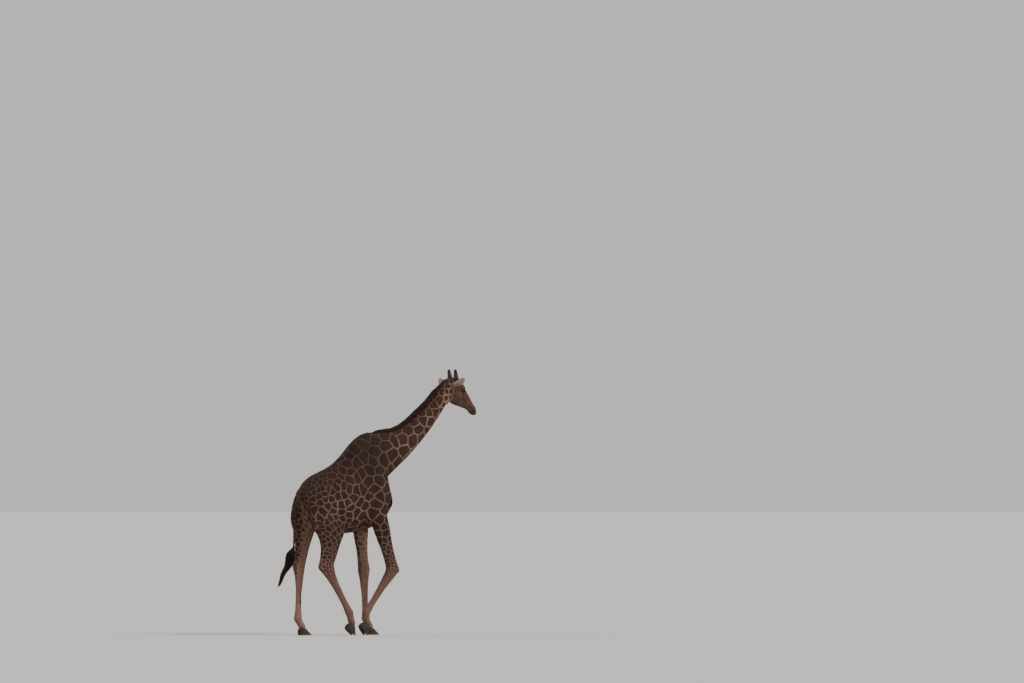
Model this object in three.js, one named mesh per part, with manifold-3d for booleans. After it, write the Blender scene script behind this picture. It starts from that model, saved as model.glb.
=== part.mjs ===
// A life-size giraffe in mid walk: neck carried forward, head low and turned a little to the left, the two
// left feet flat on the ground and the two right feet down on their toes.
// Every length is in millimetres. Points are written [forward, left, up] in the animal's own frame, which
// the function at() turns into the scene's frame: +X is its left, -Y is the way it walks, +Z is up.
import * as THREE from "three";
import { mergeVertices } from "three/addons/utils/BufferGeometryUtils.js";
import Module from "manifold-3d";

// ---------------------------------------------------------------- driving dimensions
const GAP = 0.4; // clearance between neighbouring pieces
const WELD = 0.001; // corners closer than this are one
const BODY_SIDES = 18; // sides of a trunk or neck section
const HEAD_SIDES = 16;
const LEG_SIDES = 12;
const LEG_STEP = 0.2; // spacing of the rings of a leg, in bones
const JOINT_SHARE = 0.3; // share of a bone over which the sections turn to the next bone's direction
const KNEE = 2; // joint count where the upper and lower leg are parted
const CORONET = 4;
const HOOF_SIDES = 10;
const TAIL_SIDES = 10;
const TUFT_SIDES = 10;

const NECK_TURN = { from: 800, to: 1900, degrees: 7 }; // the neck bends to the left between these stations
const MANE = { from: 590, to: 1812, step: 78, height: 79, foot: 26, crest: 9, sunk: 22 };
// Share of the mane's length, and of its height there.
const MANE_RISE = {
  at: [0, 0.06, 0.2, 0.45, 0.85, 0.95, 1],
  height: [0.25, 0.45, 0.72, 1.02, 1.08, 0.5, 0.2],
};

// Sections of the trunk, from the tail root to the front of the chest, and of the neck, from inside the
// shoulders to the skull. Each runs from a point on the upper line to one on the lower line; `half` is half
// its breadth, `wide` how far up it is broadest, and `top` and `under` how square it is (2 is an ellipse).
const TRUNK = [
  { name: "tail root", back: [-618, 2062], belly: [-590, 1880], half: 92, wide: 0.5, top: 2.0, under: 2.0 },
  { name: "rump", back: [-580, 2140], belly: [-552, 1700], half: 176, wide: 0.6, top: 1.9, under: 2.0 },
  { name: "croup", back: [-478, 2246], belly: [-455, 1575], half: 236, wide: 0.66, top: 1.8, under: 2.0 },
  { name: "hips", back: [-370, 2305], belly: [-330, 1515], half: 270, wide: 0.64, top: 1.75, under: 2.1 },
  { name: "loin", back: [-240, 2362], belly: [-200, 1470], half: 292, wide: 0.52, top: 1.8, under: 2.2 },
  { name: "flank", back: [-100, 2436], belly: [-75, 1448], half: 316, wide: 0.45, top: 1.8, under: 2.2 },
  { name: "belly", back: [60, 2570], belly: [70, 1445], half: 332, wide: 0.4, top: 1.75, under: 2.2 },
  { name: "ribs", back: [200, 2738], belly: [215, 1458], half: 324, wide: 0.38, top: 1.65, under: 2.1 },
  { name: "girth", back: [330, 2857], belly: [350, 1478], half: 300, wide: 0.38, top: 1.55, under: 2.0 },
  { name: "withers", back: [460, 2911], belly: [500, 1510], half: 274, wide: 0.4, top: 1.5, under: 2.0 },
  { name: "shoulder", back: [580, 2908], belly: [660, 1575], half: 258, wide: 0.42, top: 1.55, under: 2.0 },
  { name: "points", back: [690, 2740], belly: [772, 1670], half: 220, wide: 0.4, top: 1.7, under: 2.0 },
  { name: "breast", back: [724, 2400], belly: [830, 1770], half: 150, wide: 0.42, top: 1.9, under: 2.0 },
  { name: "chest", back: [822, 2085], belly: [900, 1862], half: 98, wide: 0.5, top: 2.0, under: 2.0 },
];
const NECK = [
  { name: "root", back: [505, 2874], belly: [470, 2040], half: 150, wide: 0.5, top: 1.6, under: 2.0 },
  { name: "withers", back: [600, 2906], belly: [585, 2085], half: 190, wide: 0.5, top: 1.6, under: 2.0 },
  { name: "shoulders", back: [690, 2910], belly: [690, 2135], half: 180, wide: 0.5, top: 1.65, under: 2.0 },
  { name: "neck base", back: [800, 2912], belly: [790, 2222], half: 168, wide: 0.5, top: 1.75, under: 2.0 },
  { name: "throat", back: [905, 2920], belly: [905, 2340], half: 153, wide: 0.48, top: 1.85, under: 2.1 },
  { name: "first", back: [1020, 2958], belly: [1085, 2490], half: 138, wide: 0.5, top: 2.0, under: 2.2 },
  { name: "second", back: [1160, 3040], belly: [1290, 2680], half: 117, wide: 0.5, top: 2.1, under: 2.2 },
  { name: "third", back: [1350, 3190], belly: [1510, 2905], half: 100, wide: 0.5, top: 2.1, under: 2.2 },
  { name: "fourth", back: [1550, 3360], belly: [1682, 3114], half: 90, wide: 0.5, top: 2.1, under: 2.2 },
  { name: "fifth", back: [1700, 3532], belly: [1814, 3284], half: 84, wide: 0.5, top: 2.1, under: 2.2 },
  { name: "nape", back: [1800, 3632], belly: [1928, 3372], half: 78, wide: 0.5, top: 2.0, under: 2.2 },
];
const NECK_ROOT = { back: [540, 2905], belly: [815, 2235] }; // where neck and trunk are parted
const RING_STEP = { trunk: 104, neck: 135 }; // spacing of the rings along the body

// The head, along its own axis from the back of the skull to the lips: `top` above it, `chin` below it.
const HEAD = { at: [1930, 3590], pitch: 42, yaw: 10, length: 620 };
const SKULL = [
  { along: -140, top: -20, chin: 70, half: 40, up: 2.0, down: 2.0 },
  { along: -100, top: 38, chin: 110, half: 58, up: 2.0, down: 2.0 },
  { along: -50, top: 86, chin: 150, half: 74, up: 2.0, down: 2.0 },
  { along: 0, top: 122, chin: 184, half: 86, up: 2.0, down: 2.0 },
  { along: 60, top: 138, chin: 206, half: 92, up: 2.1, down: 1.9 },
  { along: 130, top: 134, chin: 210, half: 95, up: 2.1, down: 1.8 },
  { along: 190, top: 122, chin: 199, half: 93, up: 2.1, down: 1.8 },
  { along: 250, top: 116, chin: 174, half: 82, up: 2.1, down: 1.8 },
  { along: 310, top: 106, chin: 142, half: 67, up: 2.1, down: 1.8 },
  { along: 380, top: 92, chin: 108, half: 54, up: 2.1, down: 1.9 },
  { along: 450, top: 77, chin: 74, half: 47, up: 2.1, down: 2.0 },
  { along: 515, top: 59, chin: 70, half: 47, up: 2.2, down: 2.2 },
  { along: 570, top: 37, chin: 63, half: 46, up: 2.3, down: 2.3 },
  { along: 603, top: 12, chin: 46, half: 36, up: 2.2, down: 2.2 },
];
const LIP_ROUNDING = [0.55, 0.9]; // the last rings, as shares of the way from the last section to the lips
const HEAD_STEP = 43; // spacing of the rings of the head
const SKULL_SEAT = -45; // where head and neck are parted, along the head's axis
const BROW = { along: 161, height: 48, side: 57, size: [80, 38, 37] }; // the bony rim round each eye
const FOREHEAD = { along: 150, height: 98, size: [108, 62, 46] }; // the middle bump
const EYE = { along: 163, height: 32, side: 82, radius: 25 };
const OSSICONE = { along: 28, height: 74, side: 62, sunk: 30, lean: 52, splay: 3, length: 207 };
const OSSICONE_SIDES = 10;
// Share of an ossicone's length, and its radius there.
const OSSICONE_RADII = [
  [0, 42],
  [0.3, 42],
  [0.48, 38.5],
  [0.66, 32],
  [0.8, 25.5],
  [0.9, 22],
  [0.96, 18.5],
  [1, 10],
];
// Sections of an ear: share of its length, then of its breadth and of its cup.
const EAR_SECTIONS = [
  [0, 0.36, 0.85],
  [0.1, 0.43, 1],
  [0.25, 0.64, 1.05],
  [0.45, 0.87, 0.95],
  [0.65, 1, 0.75],
  [0.82, 0.78, 0.5],
  [0.95, 0.27, 0.3],
];
const EAR_ARC = 6; // faces across the cup of an ear
const EAR = {
  along: -26,
  height: -38,
  side: 74,
  aim: [0.27, 0.87, 0.42],
  length: 250,
  breadth: 52,
  hang: 0.42,
  thick: 7,
  thinTip: 4.2,
  thinFrom: 0.9,
  cup: 26,
  openOut: 0.15,
  openDown: 0.05,
};

// Leg bones, joint by joint. Forelegs: shoulder blade, elbow, knee, fetlock, coronet. Hind legs: hip,
// stifle, hock, fetlock, coronet. `heel` is how far the heels are lifted, in degrees, and `haunch` how much
// the muscles above the knee or hock swell; `shin` does so to the front alone, and `joint` at and below
// the knee or hock.
const LEGS = [
  { name: "fore_left", fore: true, side: 1, heel: 0, haunch: 1, shin: 1, joint: 1,
    joints: [[455, 140, 2570], [485, 208, 1690], [546, 190, 925], [566, 168, 232], [645, 166, 98]] },
  { name: "fore_right", fore: true, side: -1, heel: 55, haunch: 1.02, shin: 1.16, joint: 1.14,
    joints: [[470, -140, 2570], [552, -208, 1690], [798, -196, 930], [380, -172, 322], [384, -170, 144]] },
  { name: "hind_left", fore: false, side: 1, heel: 0, haunch: 1, shin: 1, joint: 1,
    joints: [[-452, 112, 2100], [-386, 190, 1570], [-512, 186, 975], [-548, 166, 232], [-468, 164, 98]] },
  { name: "hind_right", fore: false, side: -1, heel: 40, haunch: 1.38, shin: 1.54, joint: 1.24,
    joints: [[-420, -112, 2100], [-190, -196, 1560], [-290, -192, 980], [108, -170, 318], [150, -168, 143]] },
];
// Sections down a leg. `at` counts joints: 1.5 is half way from the second joint to the third.
const FORE_SECTIONS = [
  { at: 0.0, front: 70, rear: 70, side: 42 },
  { at: 0.12, front: 130, rear: 120, side: 76 },
  { at: 0.35, front: 180, rear: 160, side: 110 },
  { at: 0.6, front: 212, rear: 172, side: 115 },
  { at: 0.82, front: 184, rear: 162, side: 104 },
  { at: 1.0, front: 144, rear: 148, side: 88 },
  { at: 1.2, front: 130, rear: 131, side: 81 },
  { at: 1.45, front: 97, rear: 109, side: 71 },
  { at: 1.7, front: 82, rear: 86, side: 62 },
  { at: 1.88, front: 86, rear: 92, side: 63 },
  { at: 2.0, front: 94, rear: 93, side: 68 },
  { at: 2.12, front: 78, rear: 81, side: 62 },
  { at: 2.28, front: 56, rear: 61, side: 50 },
  { at: 2.55, front: 47, rear: 50, side: 42 },
  { at: 2.82, front: 46, rear: 50, side: 44 },
  { at: 2.98, front: 55, rear: 62, side: 56 },
  { at: 3.25, front: 48, rear: 52, side: 54 },
  { at: 3.65, front: 46, rear: 50, side: 60 },
  { at: 4.0, front: 44, rear: 50, side: 66 },
];
const HIND_SECTIONS = [
  { at: 0.0, front: 120, rear: 95, side: 66 },
  { at: 0.2, front: 205, rear: 186, side: 120 },
  { at: 0.5, front: 214, rear: 242, side: 128 },
  { at: 0.8, front: 190, rear: 274, side: 118 },
  { at: 1.02, front: 154, rear: 260, side: 102 },
  { at: 1.22, front: 124, rear: 194, side: 86 },
  { at: 1.42, front: 104, rear: 150, side: 74 },
  { at: 1.65, front: 92, rear: 122, side: 62 },
  { at: 1.85, front: 88, rear: 112, side: 58 },
  { at: 1.98, front: 84, rear: 118, side: 62 },
  { at: 2.1, front: 74, rear: 88, side: 59 },
  { at: 2.25, front: 56, rear: 60, side: 50 },
  { at: 2.55, front: 45, rear: 47, side: 41 },
  { at: 2.82, front: 45, rear: 49, side: 43 },
  { at: 2.98, front: 55, rear: 62, side: 56 },
  { at: 3.25, front: 48, rear: 52, side: 54 },
  { at: 3.65, front: 46, rear: 50, side: 60 },
  { at: 4.0, front: 44, rear: 50, side: 66 },
];
// Where a leg swells by its own `haunch`, `shin` and `joint`, in joint counts.
const HAUNCH = { at: 1.1, reach: 0.52 };
const SHIN = { at: 1.6, reach: 0.75 };
const JOINT = { at: 2.15, reach: 0.65 };
const HOOF = { spread: 37, toeOut: 5, drop: 98 }; // `drop` is from the coronet to the sole
// Level slices of one hoof, standing: height over the sole, toe and heel ahead of the coronet, and half
// its breadth.
const HOOF_SLICES = [
  { up: 0, toe: 118, heel: -56, half: 33 },
  { up: 14, toe: 110, heel: -60, half: 35.5 },
  { up: 50, toe: 76, heel: -66, half: 34 },
  { up: 88, toe: 42, heel: -58, half: 30 },
  { up: 104, toe: 22, heel: -40, half: 20 },
];

const TAIL = [
  { at: [-565, 2085], radius: 50 },
  { at: [-622, 2045], radius: 40 },
  { at: [-672, 1930], radius: 29 },
  { at: [-692, 1760], radius: 23 },
  { at: [-700, 1580], radius: 19 },
  { at: [-706, 1380], radius: 16 },
  { at: [-722, 1225], radius: 15 },
];
const TUFT = [
  { at: [-716, 1262], radius: 17, flat: 1 },
  { at: [-741, 1190], radius: 42, flat: 0.8 },
  { at: [-780, 1100], radius: 63, flat: 0.66 },
  { at: [-814, 1010], radius: 61, flat: 0.66 },
  { at: [-856, 925], radius: 48, flat: 0.68 },
  { at: [-898, 845], radius: 34, flat: 0.75 },
  { at: [-940, 762], radius: 27, flat: 0.75 },
  { at: [-985, 672], radius: 9, flat: 0.8 },
];

// ---------------------------------------------------------------- frames and small maths
const radians = THREE.MathUtils.degToRad;
const lerp = THREE.MathUtils.lerp;
const LEFT = new THREE.Vector3(1, 0, 0);
const UP = new THREE.Vector3(0, 0, 1);

// A point [forward, left, up] of the animal in the scene's frame.
function at(forward, left, up) {
  return new THREE.Vector3(left, -forward, up);
}

// How far the neck has turned at a forward station, and where its middle line has gone to.
function turned(forward) {
  const { from, to, degrees } = NECK_TURN;
  const full = radians(degrees);
  const past = Math.max(0, forward - from);
  const bend = to - from;
  const inBend = Math.min(past, bend);
  const angle = (full * inBend) / bend;
  const radius = bend / full;
  const straight = past - inBend;
  return {
    angle,
    forward: Math.min(forward, from) + radius * Math.sin(angle) + straight * Math.cos(angle),
    left: radius * (1 - Math.cos(angle)) + straight * Math.sin(angle),
  };
}

// The way to the animal's left at a forward station of the turned neck line.
function leftAt(forward) {
  const { angle } = turned(forward);
  return at(-Math.sin(angle), Math.cos(angle), 0);
}

// A point of the middle plane, on the turned neck line.
function onMiddle([forward, up]) {
  const line = turned(forward);
  return at(line.forward, line.left, up);
}

// Reads a row of numbers through a smooth curve: values[i] is reached at places[i].
function smooth(places, values, place) {
  let i = places.findIndex((p) => p > place) - 1;
  if (i < 0) i = place < places[0] ? 0 : places.length - 2;
  const step = places[i + 1] - places[i];
  const t = THREE.MathUtils.clamp((place - places[i]) / step, 0, 1);
  const slope = (k) => {
    const a = Math.max(0, k - 1);
    const b = Math.min(places.length - 1, k + 1);
    return (values[b] - values[a]) / (places[b] - places[a]);
  };
  const [m0, m1] = [slope(i) * step, slope(i + 1) * step];
  const [t2, t3] = [t * t, t * t * t];
  const fromHere = (2 * t3 - 3 * t2 + 1) * values[i] + (t3 - 2 * t2 + t) * m0;
  const fromNext = (3 * t2 - 2 * t3) * values[i + 1] + (t3 - t2) * m1;
  return fromHere + fromNext;
}

// ---------------------------------------------------------------- lofts
// A ring of points round a middle: `across` and `upward` are unit vectors, and the ring reaches `half` to
// each side, `top` above and `under` below. A power of 2 gives an ellipse, more gives a squarer section.
function ring(middle, across, upward, { half, top, under, topPower = 2, underPower = 2 }, sides) {
  const points = [];
  for (let i = 0; i < sides; i++) {
    const turn = (2 * Math.PI * i) / sides;
    const [c, s] = [Math.cos(turn), Math.sin(turn)];
    const power = 2 / (s >= 0 ? topPower : underPower);
    const x = Math.sign(c) * Math.abs(c) ** power * half;
    const y = Math.sign(s) * Math.abs(s) ** power * (s >= 0 ? top : under);
    points.push(middle.clone().addScaledVector(across, x).addScaledVector(upward, y));
  }
  return points;
}

function middleOfRing(points) {
  return points.reduce((sum, p) => sum.add(p), new THREE.Vector3()).divideScalar(points.length);
}

// A closed skin over a row of rings, with a point in the middle of each end. `grow` pushes the two ends
// outwards.
function loft(rings, grow = 0) {
  const sides = rings[0].length;
  const inward = [rings[1], rings[rings.length - 2]].map(middleOfRing);
  const ends = [rings[0], rings[rings.length - 1]].map(middleOfRing);
  ends.forEach((end, i) => {
    const push = end.clone().sub(inward[i]).setLength(grow);
    const endRing = i === 0 ? rings[0] : rings[rings.length - 1];
    endRing.forEach((p) => p.add(push));
    end.add(push);
  });
  const points = [...rings.flat(), ...ends];
  const faces = [];
  for (let r = 0; r + 1 < rings.length; r++) {
    for (let i = 0; i < sides; i++) {
      const j = (i + 1) % sides;
      const [a, b, c, d] = [r * sides + i, r * sides + j, (r + 1) * sides + j, (r + 1) * sides + i];
      faces.push(a, b, c, a, c, d);
    }
  }
  const last = (rings.length - 1) * sides;
  for (let i = 0; i < sides; i++) {
    const j = (i + 1) % sides;
    faces.push(rings.length * sides, j, i);
    faces.push(rings.length * sides + 1, last + i, last + j);
  }
  const geometry = new THREE.BufferGeometry().setFromPoints(points);
  geometry.setIndex(faces);
  return geometry;
}

// ---------------------------------------------------------------- solids
const wasm = await Module();
wasm.setup();

// A closed geometry as a solid, turned the right way out.
function solid(geometry) {
  const bare = geometry.clone();
  bare.deleteAttribute("normal");
  bare.deleteAttribute("uv");
  const merged = mergeVertices(bare, WELD);
  const vertProperties = merged.attributes.position.array;
  const triVerts = new Uint32Array(merged.index.array);
  const made = new wasm.Manifold(new wasm.Mesh({ numProp: 3, vertProperties, triVerts }));
  if (made.volume() > 0) return made;
  for (let i = 0; i < triVerts.length; i += 3) triVerts.subarray(i, i + 3).reverse();
  return new wasm.Manifold(new wasm.Mesh({ numProp: 3, vertProperties, triVerts }));
}

// A sphere stretched to `size`, with its axes along the columns of a rotation.
function ellipsoid(middle, axes, size, sides = 10) {
  const geometry = new THREE.SphereGeometry(1, sides, Math.round(sides * 0.7));
  const [x, y, z] = axes.map((axis, i) => axis.clone().multiplyScalar(size[i]));
  const matrix = new THREE.Matrix4().makeBasis(x, y, z).setPosition(middle);
  return solid(geometry.applyMatrix4(matrix));
}

// The two sides of a solid cut by a plane, with half the gap taken from each.
function part(whole, point, normal) {
  const n = normal.clone().normalize();
  const offset = n.dot(point);
  return {
    ahead: whole.trimByPlane(n.toArray(), offset + GAP / 2),
    behind: whole.trimByPlane(n.clone().negate().toArray(), -offset + GAP / 2),
  };
}

const biggest = (whole) => whole.decompose().sort((a, b) => b.volume() - a.volume())[0];

// ---------------------------------------------------------------- trunk and neck
const middleOf = ({ back, belly }) => [(back[0] + belly[0]) / 2, (back[1] + belly[1]) / 2];

// The named sections read through smooth curves, with a ring every ringStep or so.
function sectionsOf(named, ringStep) {
  const places = [0];
  for (let i = 1; i < named.length; i++) {
    const [a, b] = [middleOf(named[i - 1]), middleOf(named[i])];
    places.push(places[i - 1] + Math.hypot(b[0] - a[0], b[1] - a[1]));
  }
  const total = places[places.length - 1];
  const count = Math.round(total / ringStep);
  return Array.from({ length: count + 1 }, (_, i) => {
    const place = (total * i) / count;
    const read = (pick) => smooth(places, named.map(pick), place);
    return {
      back: [read((s) => s.back[0]), read((s) => s.back[1])],
      belly: [read((s) => s.belly[0]), read((s) => s.belly[1])],
      half: read((s) => s.half),
      wide: read((s) => s.wide),
      top: read((s) => s.top),
      under: read((s) => s.under),
    };
  });
}

function bodyLoft(named, ringStep) {
  const rings = sectionsOf(named, ringStep).map((s) => {
    const belly = onMiddle(s.belly);
    const upward = onMiddle(s.back).sub(belly);
    const depth = upward.length();
    upward.normalize();
    const across = leftAt((s.back[0] + s.belly[0]) / 2);
    const under = depth * s.wide;
    const middle = belly.addScaledVector(upward, under);
    const reach = { half: s.half, top: depth - under, under, topPower: s.top, underPower: s.under };
    return ring(middle, across, upward, reach, BODY_SIDES);
  });
  return solid(loft(rings));
}

// ---------------------------------------------------------------- head
const headYaw = radians(HEAD.yaw);
const headPitch = radians(HEAD.pitch);
const headLevel = at(Math.cos(headYaw), Math.sin(headYaw), 0);
const headLeft = at(-Math.sin(headYaw), Math.cos(headYaw), 0);
const headAhead = new THREE.Vector3().addScaledVector(headLevel, Math.cos(headPitch))
  .addScaledVector(UP, -Math.sin(headPitch));
const headUp = new THREE.Vector3().addScaledVector(headLevel, Math.sin(headPitch))
  .addScaledVector(UP, Math.cos(headPitch));
const headAxes = [headAhead, headLeft, headUp];
const headBack = onMiddle(HEAD.at);

// A point of the head: along its axis, to its left, and above the axis.
function onHead(along, left, height) {
  const point = headBack.clone().addScaledVector(headAhead, along);
  return point.addScaledVector(headLeft, left).addScaledVector(headUp, height);
}

function skull() {
  const places = SKULL.map((s) => s.along);
  const [first, last] = [places[0], places[places.length - 1]];
  const count = Math.round((last - first) / HEAD_STEP);
  const section = (place, { top, chin, half, up, down }) => {
    const tall = (top + chin) / 2;
    const reach = { half, top: tall, under: tall, topPower: up, underPower: down };
    return ring(onHead(place, 0, (top - chin) / 2), headLeft, headUp, reach, HEAD_SIDES);
  };
  const rings = [];
  for (let i = 0; i <= count; i++) {
    const place = lerp(first, last, i / count);
    const read = (key) => smooth(places, SKULL.map((s) => s[key]), place);
    const [top, chin, half] = [read("top"), read("chin"), read("half")];
    rings.push(section(place, { top, chin, half, up: read("up"), down: read("down") }));
  }
  const lips = SKULL[SKULL.length - 1];
  const middle = (lips.top - lips.chin) / 2;
  for (const share of LIP_ROUNDING) {
    const shrink = Math.sqrt(1 - share * share);
    const tall = ((lips.top + lips.chin) / 2) * shrink;
    const [top, chin] = [tall + middle, tall - middle];
    const half = lips.half * shrink;
    rings.push(section(lerp(last, HEAD.length, share), { top, chin, half, up: 2, down: 2 }));
  }
  return solid(loft(rings));
}

function headWhole() {
  let whole = skull();
  for (const side of [1, -1]) {
    whole = whole.add(ellipsoid(onHead(BROW.along, side * BROW.side, BROW.height), headAxes, BROW.size));
  }
  return whole.add(ellipsoid(onHead(FOREHEAD.along, 0, FOREHEAD.height), headAxes, FOREHEAD.size));
}

function eye(side, grow = 0) {
  const r = EYE.radius + grow;
  return ellipsoid(onHead(EYE.along, side * EYE.side, EYE.height), headAxes, [r, r, r], 12);
}

function ossicone(side, grow = 0) {
  const [lean, splay] = [radians(OSSICONE.lean), radians(OSSICONE.splay)];
  const foot = onHead(OSSICONE.along, side * OSSICONE.side, OSSICONE.height - OSSICONE.sunk);
  const back = headUp.clone().multiplyScalar(Math.cos(lean)).addScaledVector(headAhead, -Math.sin(lean));
  const aim = back.multiplyScalar(Math.cos(splay)).addScaledVector(headLeft, side * Math.sin(splay));
  const across = new THREE.Vector3().crossVectors(aim, headLeft).normalize();
  const other = new THREE.Vector3().crossVectors(across, aim).normalize();
  const rings = OSSICONE_RADII.map(([share, radius]) => {
    const r = radius + grow;
    const middle = foot.clone().addScaledVector(aim, OSSICONE.length * share);
    return ring(middle, across, other, { half: r, top: r, under: r }, OSSICONE_SIDES);
  });
  return solid(loft(rings, grow));
}

// A leaf-shaped cup: the outer skin bulges backwards and the hollow faces forwards and outwards, open or
// `filled`.
function ear(side, grow = 0, filled = false) {
  const [ahead, out, up] = EAR.aim;
  const forwards = headLevel.clone().multiplyScalar(ahead);
  const aim = forwards.addScaledVector(headLeft, side * out).addScaledVector(UP, up).normalize();
  const open = headLevel.clone().addScaledVector(headLeft, side * EAR.openOut);
  open.addScaledVector(UP, -EAR.openDown);
  open.addScaledVector(aim, -open.dot(aim)).normalize();
  const across = new THREE.Vector3().crossVectors(aim, open).normalize();
  const root = onHead(EAR.along, side * EAR.side, EAR.height);
  const rings = EAR_SECTIONS.map(([along, breadth, cup]) => {
    const half = EAR.breadth * breadth + grow;
    const depth = EAR.cup * cup;
    const thick = (along > EAR.thinFrom ? EAR.thinTip : EAR.thick) + grow;
    const middle = root.clone().addScaledVector(aim, EAR.length * along);
    middle.addScaledVector(across, side * EAR.hang * EAR.breadth * breadth);
    const corner = (k, hollow, wall) => {
      const x = -1 + (2 * k) / EAR_ARC;
      const back = hollow * (1 - x * x) + wall;
      return middle.clone().addScaledVector(across, half * x).addScaledVector(open, -back);
    };
    const steps = [...Array(EAR_ARC + 1).keys()];
    const outer = steps.map((k) => corner(k, depth, thick));
    const inner = steps.map((k) => corner(EAR_ARC - k, filled ? 0 : depth, -thick));
    return [...outer, ...inner];
  });
  return solid(loft(rings, grow));
}

// ---------------------------------------------------------------- mane, tail, tuft
function mane(grow = 0) {
  const stations = sectionsOf(NECK, MANE.step).filter((s) => s.back[0] > MANE.from && s.back[0] < MANE.to);
  const rings = stations.map((s, i) => {
    const back = onMiddle(s.back);
    const upward = back.clone().sub(onMiddle(s.belly)).normalize();
    const across = leftAt(s.back[0]);
    const share = i / (stations.length - 1);
    const tall = MANE.height * smooth(MANE_RISE.at, MANE_RISE.height, share) + grow;
    const foot = MANE.foot * Math.min(1, 0.5 + 2 * share) + grow;
    const crest = MANE.crest + grow;
    const sunk = MANE.sunk + grow;
    const corners = [
      [-foot, -sunk],
      [foot, -sunk],
      [foot * 0.86, tall * 0.45],
      [crest, tall * 0.93],
      [0, tall],
      [-crest, tall * 0.93],
      [-foot * 0.86, tall * 0.45],
    ];
    return corners.map(([x, y]) => back.clone().addScaledVector(across, x).addScaledVector(upward, y));
  });
  return solid(loft(rings, grow));
}

// A round cord of hair or flesh down the middle of the hind end.
function rope(stations, sides, grow = 0) {
  const middles = stations.map((s) => at(s.at[0], 0, s.at[1]));
  const rings = stations.map((s, i) => {
    const next = middles[Math.min(i + 1, middles.length - 1)];
    const along = next.clone().sub(middles[Math.max(i - 1, 0)]).normalize();
    const front = new THREE.Vector3().crossVectors(LEFT, along).normalize();
    const r = s.radius + grow;
    return ring(middles[i], LEFT, front, { half: r * (s.flat ?? 1), top: r, under: r }, sides);
  });
  return solid(loft(rings, grow));
}

// ---------------------------------------------------------------- legs
// The middle line of a leg at a joint count such as 1.5, and the way it runs there, which turns smoothly
// from bone to bone.
function legLine(joints, place) {
  const i = Math.min(Math.floor(place), joints.length - 2);
  const t = place - i;
  const way = (k) => joints[k + 1].clone().sub(joints[k]).normalize();
  const here = way(i);
  const before = i > 0 ? way(i - 1) : here;
  const after = i < joints.length - 2 ? way(i + 1) : here;
  const run = here.clone();
  if (t < JOINT_SHARE) run.lerp(before, 0.5 * (1 - t / JOINT_SHARE));
  if (t > 1 - JOINT_SHARE) run.lerp(after, 0.5 * (1 - (1 - t) / JOINT_SHARE));
  return { point: joints[i].clone().lerp(joints[i + 1], t), run: run.normalize() };
}

function leg(plan, grow = 0) {
  const joints = plan.joints.map((p) => at(...p));
  const sections = plan.fore ? FORE_SECTIONS : HIND_SECTIONS;
  const places = sections.map((s) => s.at);
  const count = Math.round((joints.length - 1) / LEG_STEP);
  const rings = Array.from({ length: count + 1 }, (_, i) => {
    const place = ((joints.length - 1) * i) / count;
    const read = (key) => smooth(places, sections.map((s) => s[key]), place);
    const { point, run } = legLine(joints, place);
    const near = ({ at: middle, reach }) => Math.max(0, 1 - Math.abs(place - middle) / reach);
    const swell = lerp(1, plan.haunch, near(HAUNCH)) * lerp(1, plan.joint, near(JOINT));
    const ahead = read("front") * swell * lerp(1, plan.shin, near(SHIN));
    const rear = read("rear") * swell;
    const across = LEFT.clone().addScaledVector(run, -LEFT.dot(run)).normalize();
    const front = new THREE.Vector3().crossVectors(run, across).normalize();
    if (front.y > 0) front.negate();
    const middle = point.clone().addScaledVector(front, (ahead - rear) / 2);
    const deep = (ahead + rear) / 2 + grow;
    return ring(middle, across, front, { half: read("side") + grow, top: deep, under: deep }, LEG_SIDES);
  });
  return solid(loft(rings, grow));
}

// One of the two hooves of a foot: `toe` is 1 for the left one and -1 for the right one.
function hoof(plan, toe, grow = 0) {
  const coronet = at(...plan.joints[CORONET]);
  const pitch = radians(plan.heel);
  const out = radians(HOOF.toeOut) * toe;
  const slices = HOOF_SLICES.map(({ up, toe: front, heel, half }) => {
    const [x, z] = [(front + heel) / 2, up - HOOF.drop];
    const forward = x * Math.cos(pitch) + z * Math.sin(pitch);
    const height = -x * Math.sin(pitch) + z * Math.cos(pitch);
    const middle = coronet.clone().add(at(forward, toe * HOOF.spread + x * Math.sin(out), height));
    const run = at(Math.cos(pitch) * Math.cos(out), Math.sin(out), -Math.sin(pitch));
    const across = new THREE.Vector3().crossVectors(run, UP).normalize();
    const length = (front - heel) / 2 + grow;
    const reach = { half: half + grow, top: length, under: length, topPower: 1.75, underPower: 2.6 };
    return ring(middle, across, run, reach, HOOF_SIDES);
  });
  return solid(loft(slices, grow));
}

// ---------------------------------------------------------------- assembly
const giraffe = new THREE.Group();
const COAT = new THREE.MeshStandardMaterial({ color: 0x6b4326, roughness: 0.85 });
const PALE = new THREE.MeshStandardMaterial({ color: 0xcdb795, roughness: 0.85 });
const HAIR = new THREE.MeshStandardMaterial({ color: 0x2a1c14, roughness: 0.9 });
const MANE_HAIR = new THREE.MeshStandardMaterial({ color: 0x5d3620, roughness: 0.9 });
const HORN = new THREE.MeshStandardMaterial({ color: 0x3b2f27, roughness: 0.55 });
const BONE = new THREE.MeshStandardMaterial({ color: 0x4a3324, roughness: 0.8 });
const EYEBALL = new THREE.MeshStandardMaterial({ color: 0x120c09, roughness: 0.1 });

function groupOf(name) {
  const made = new THREE.Group();
  made.name = name;
  giraffe.add(made);
  return made;
}

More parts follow.
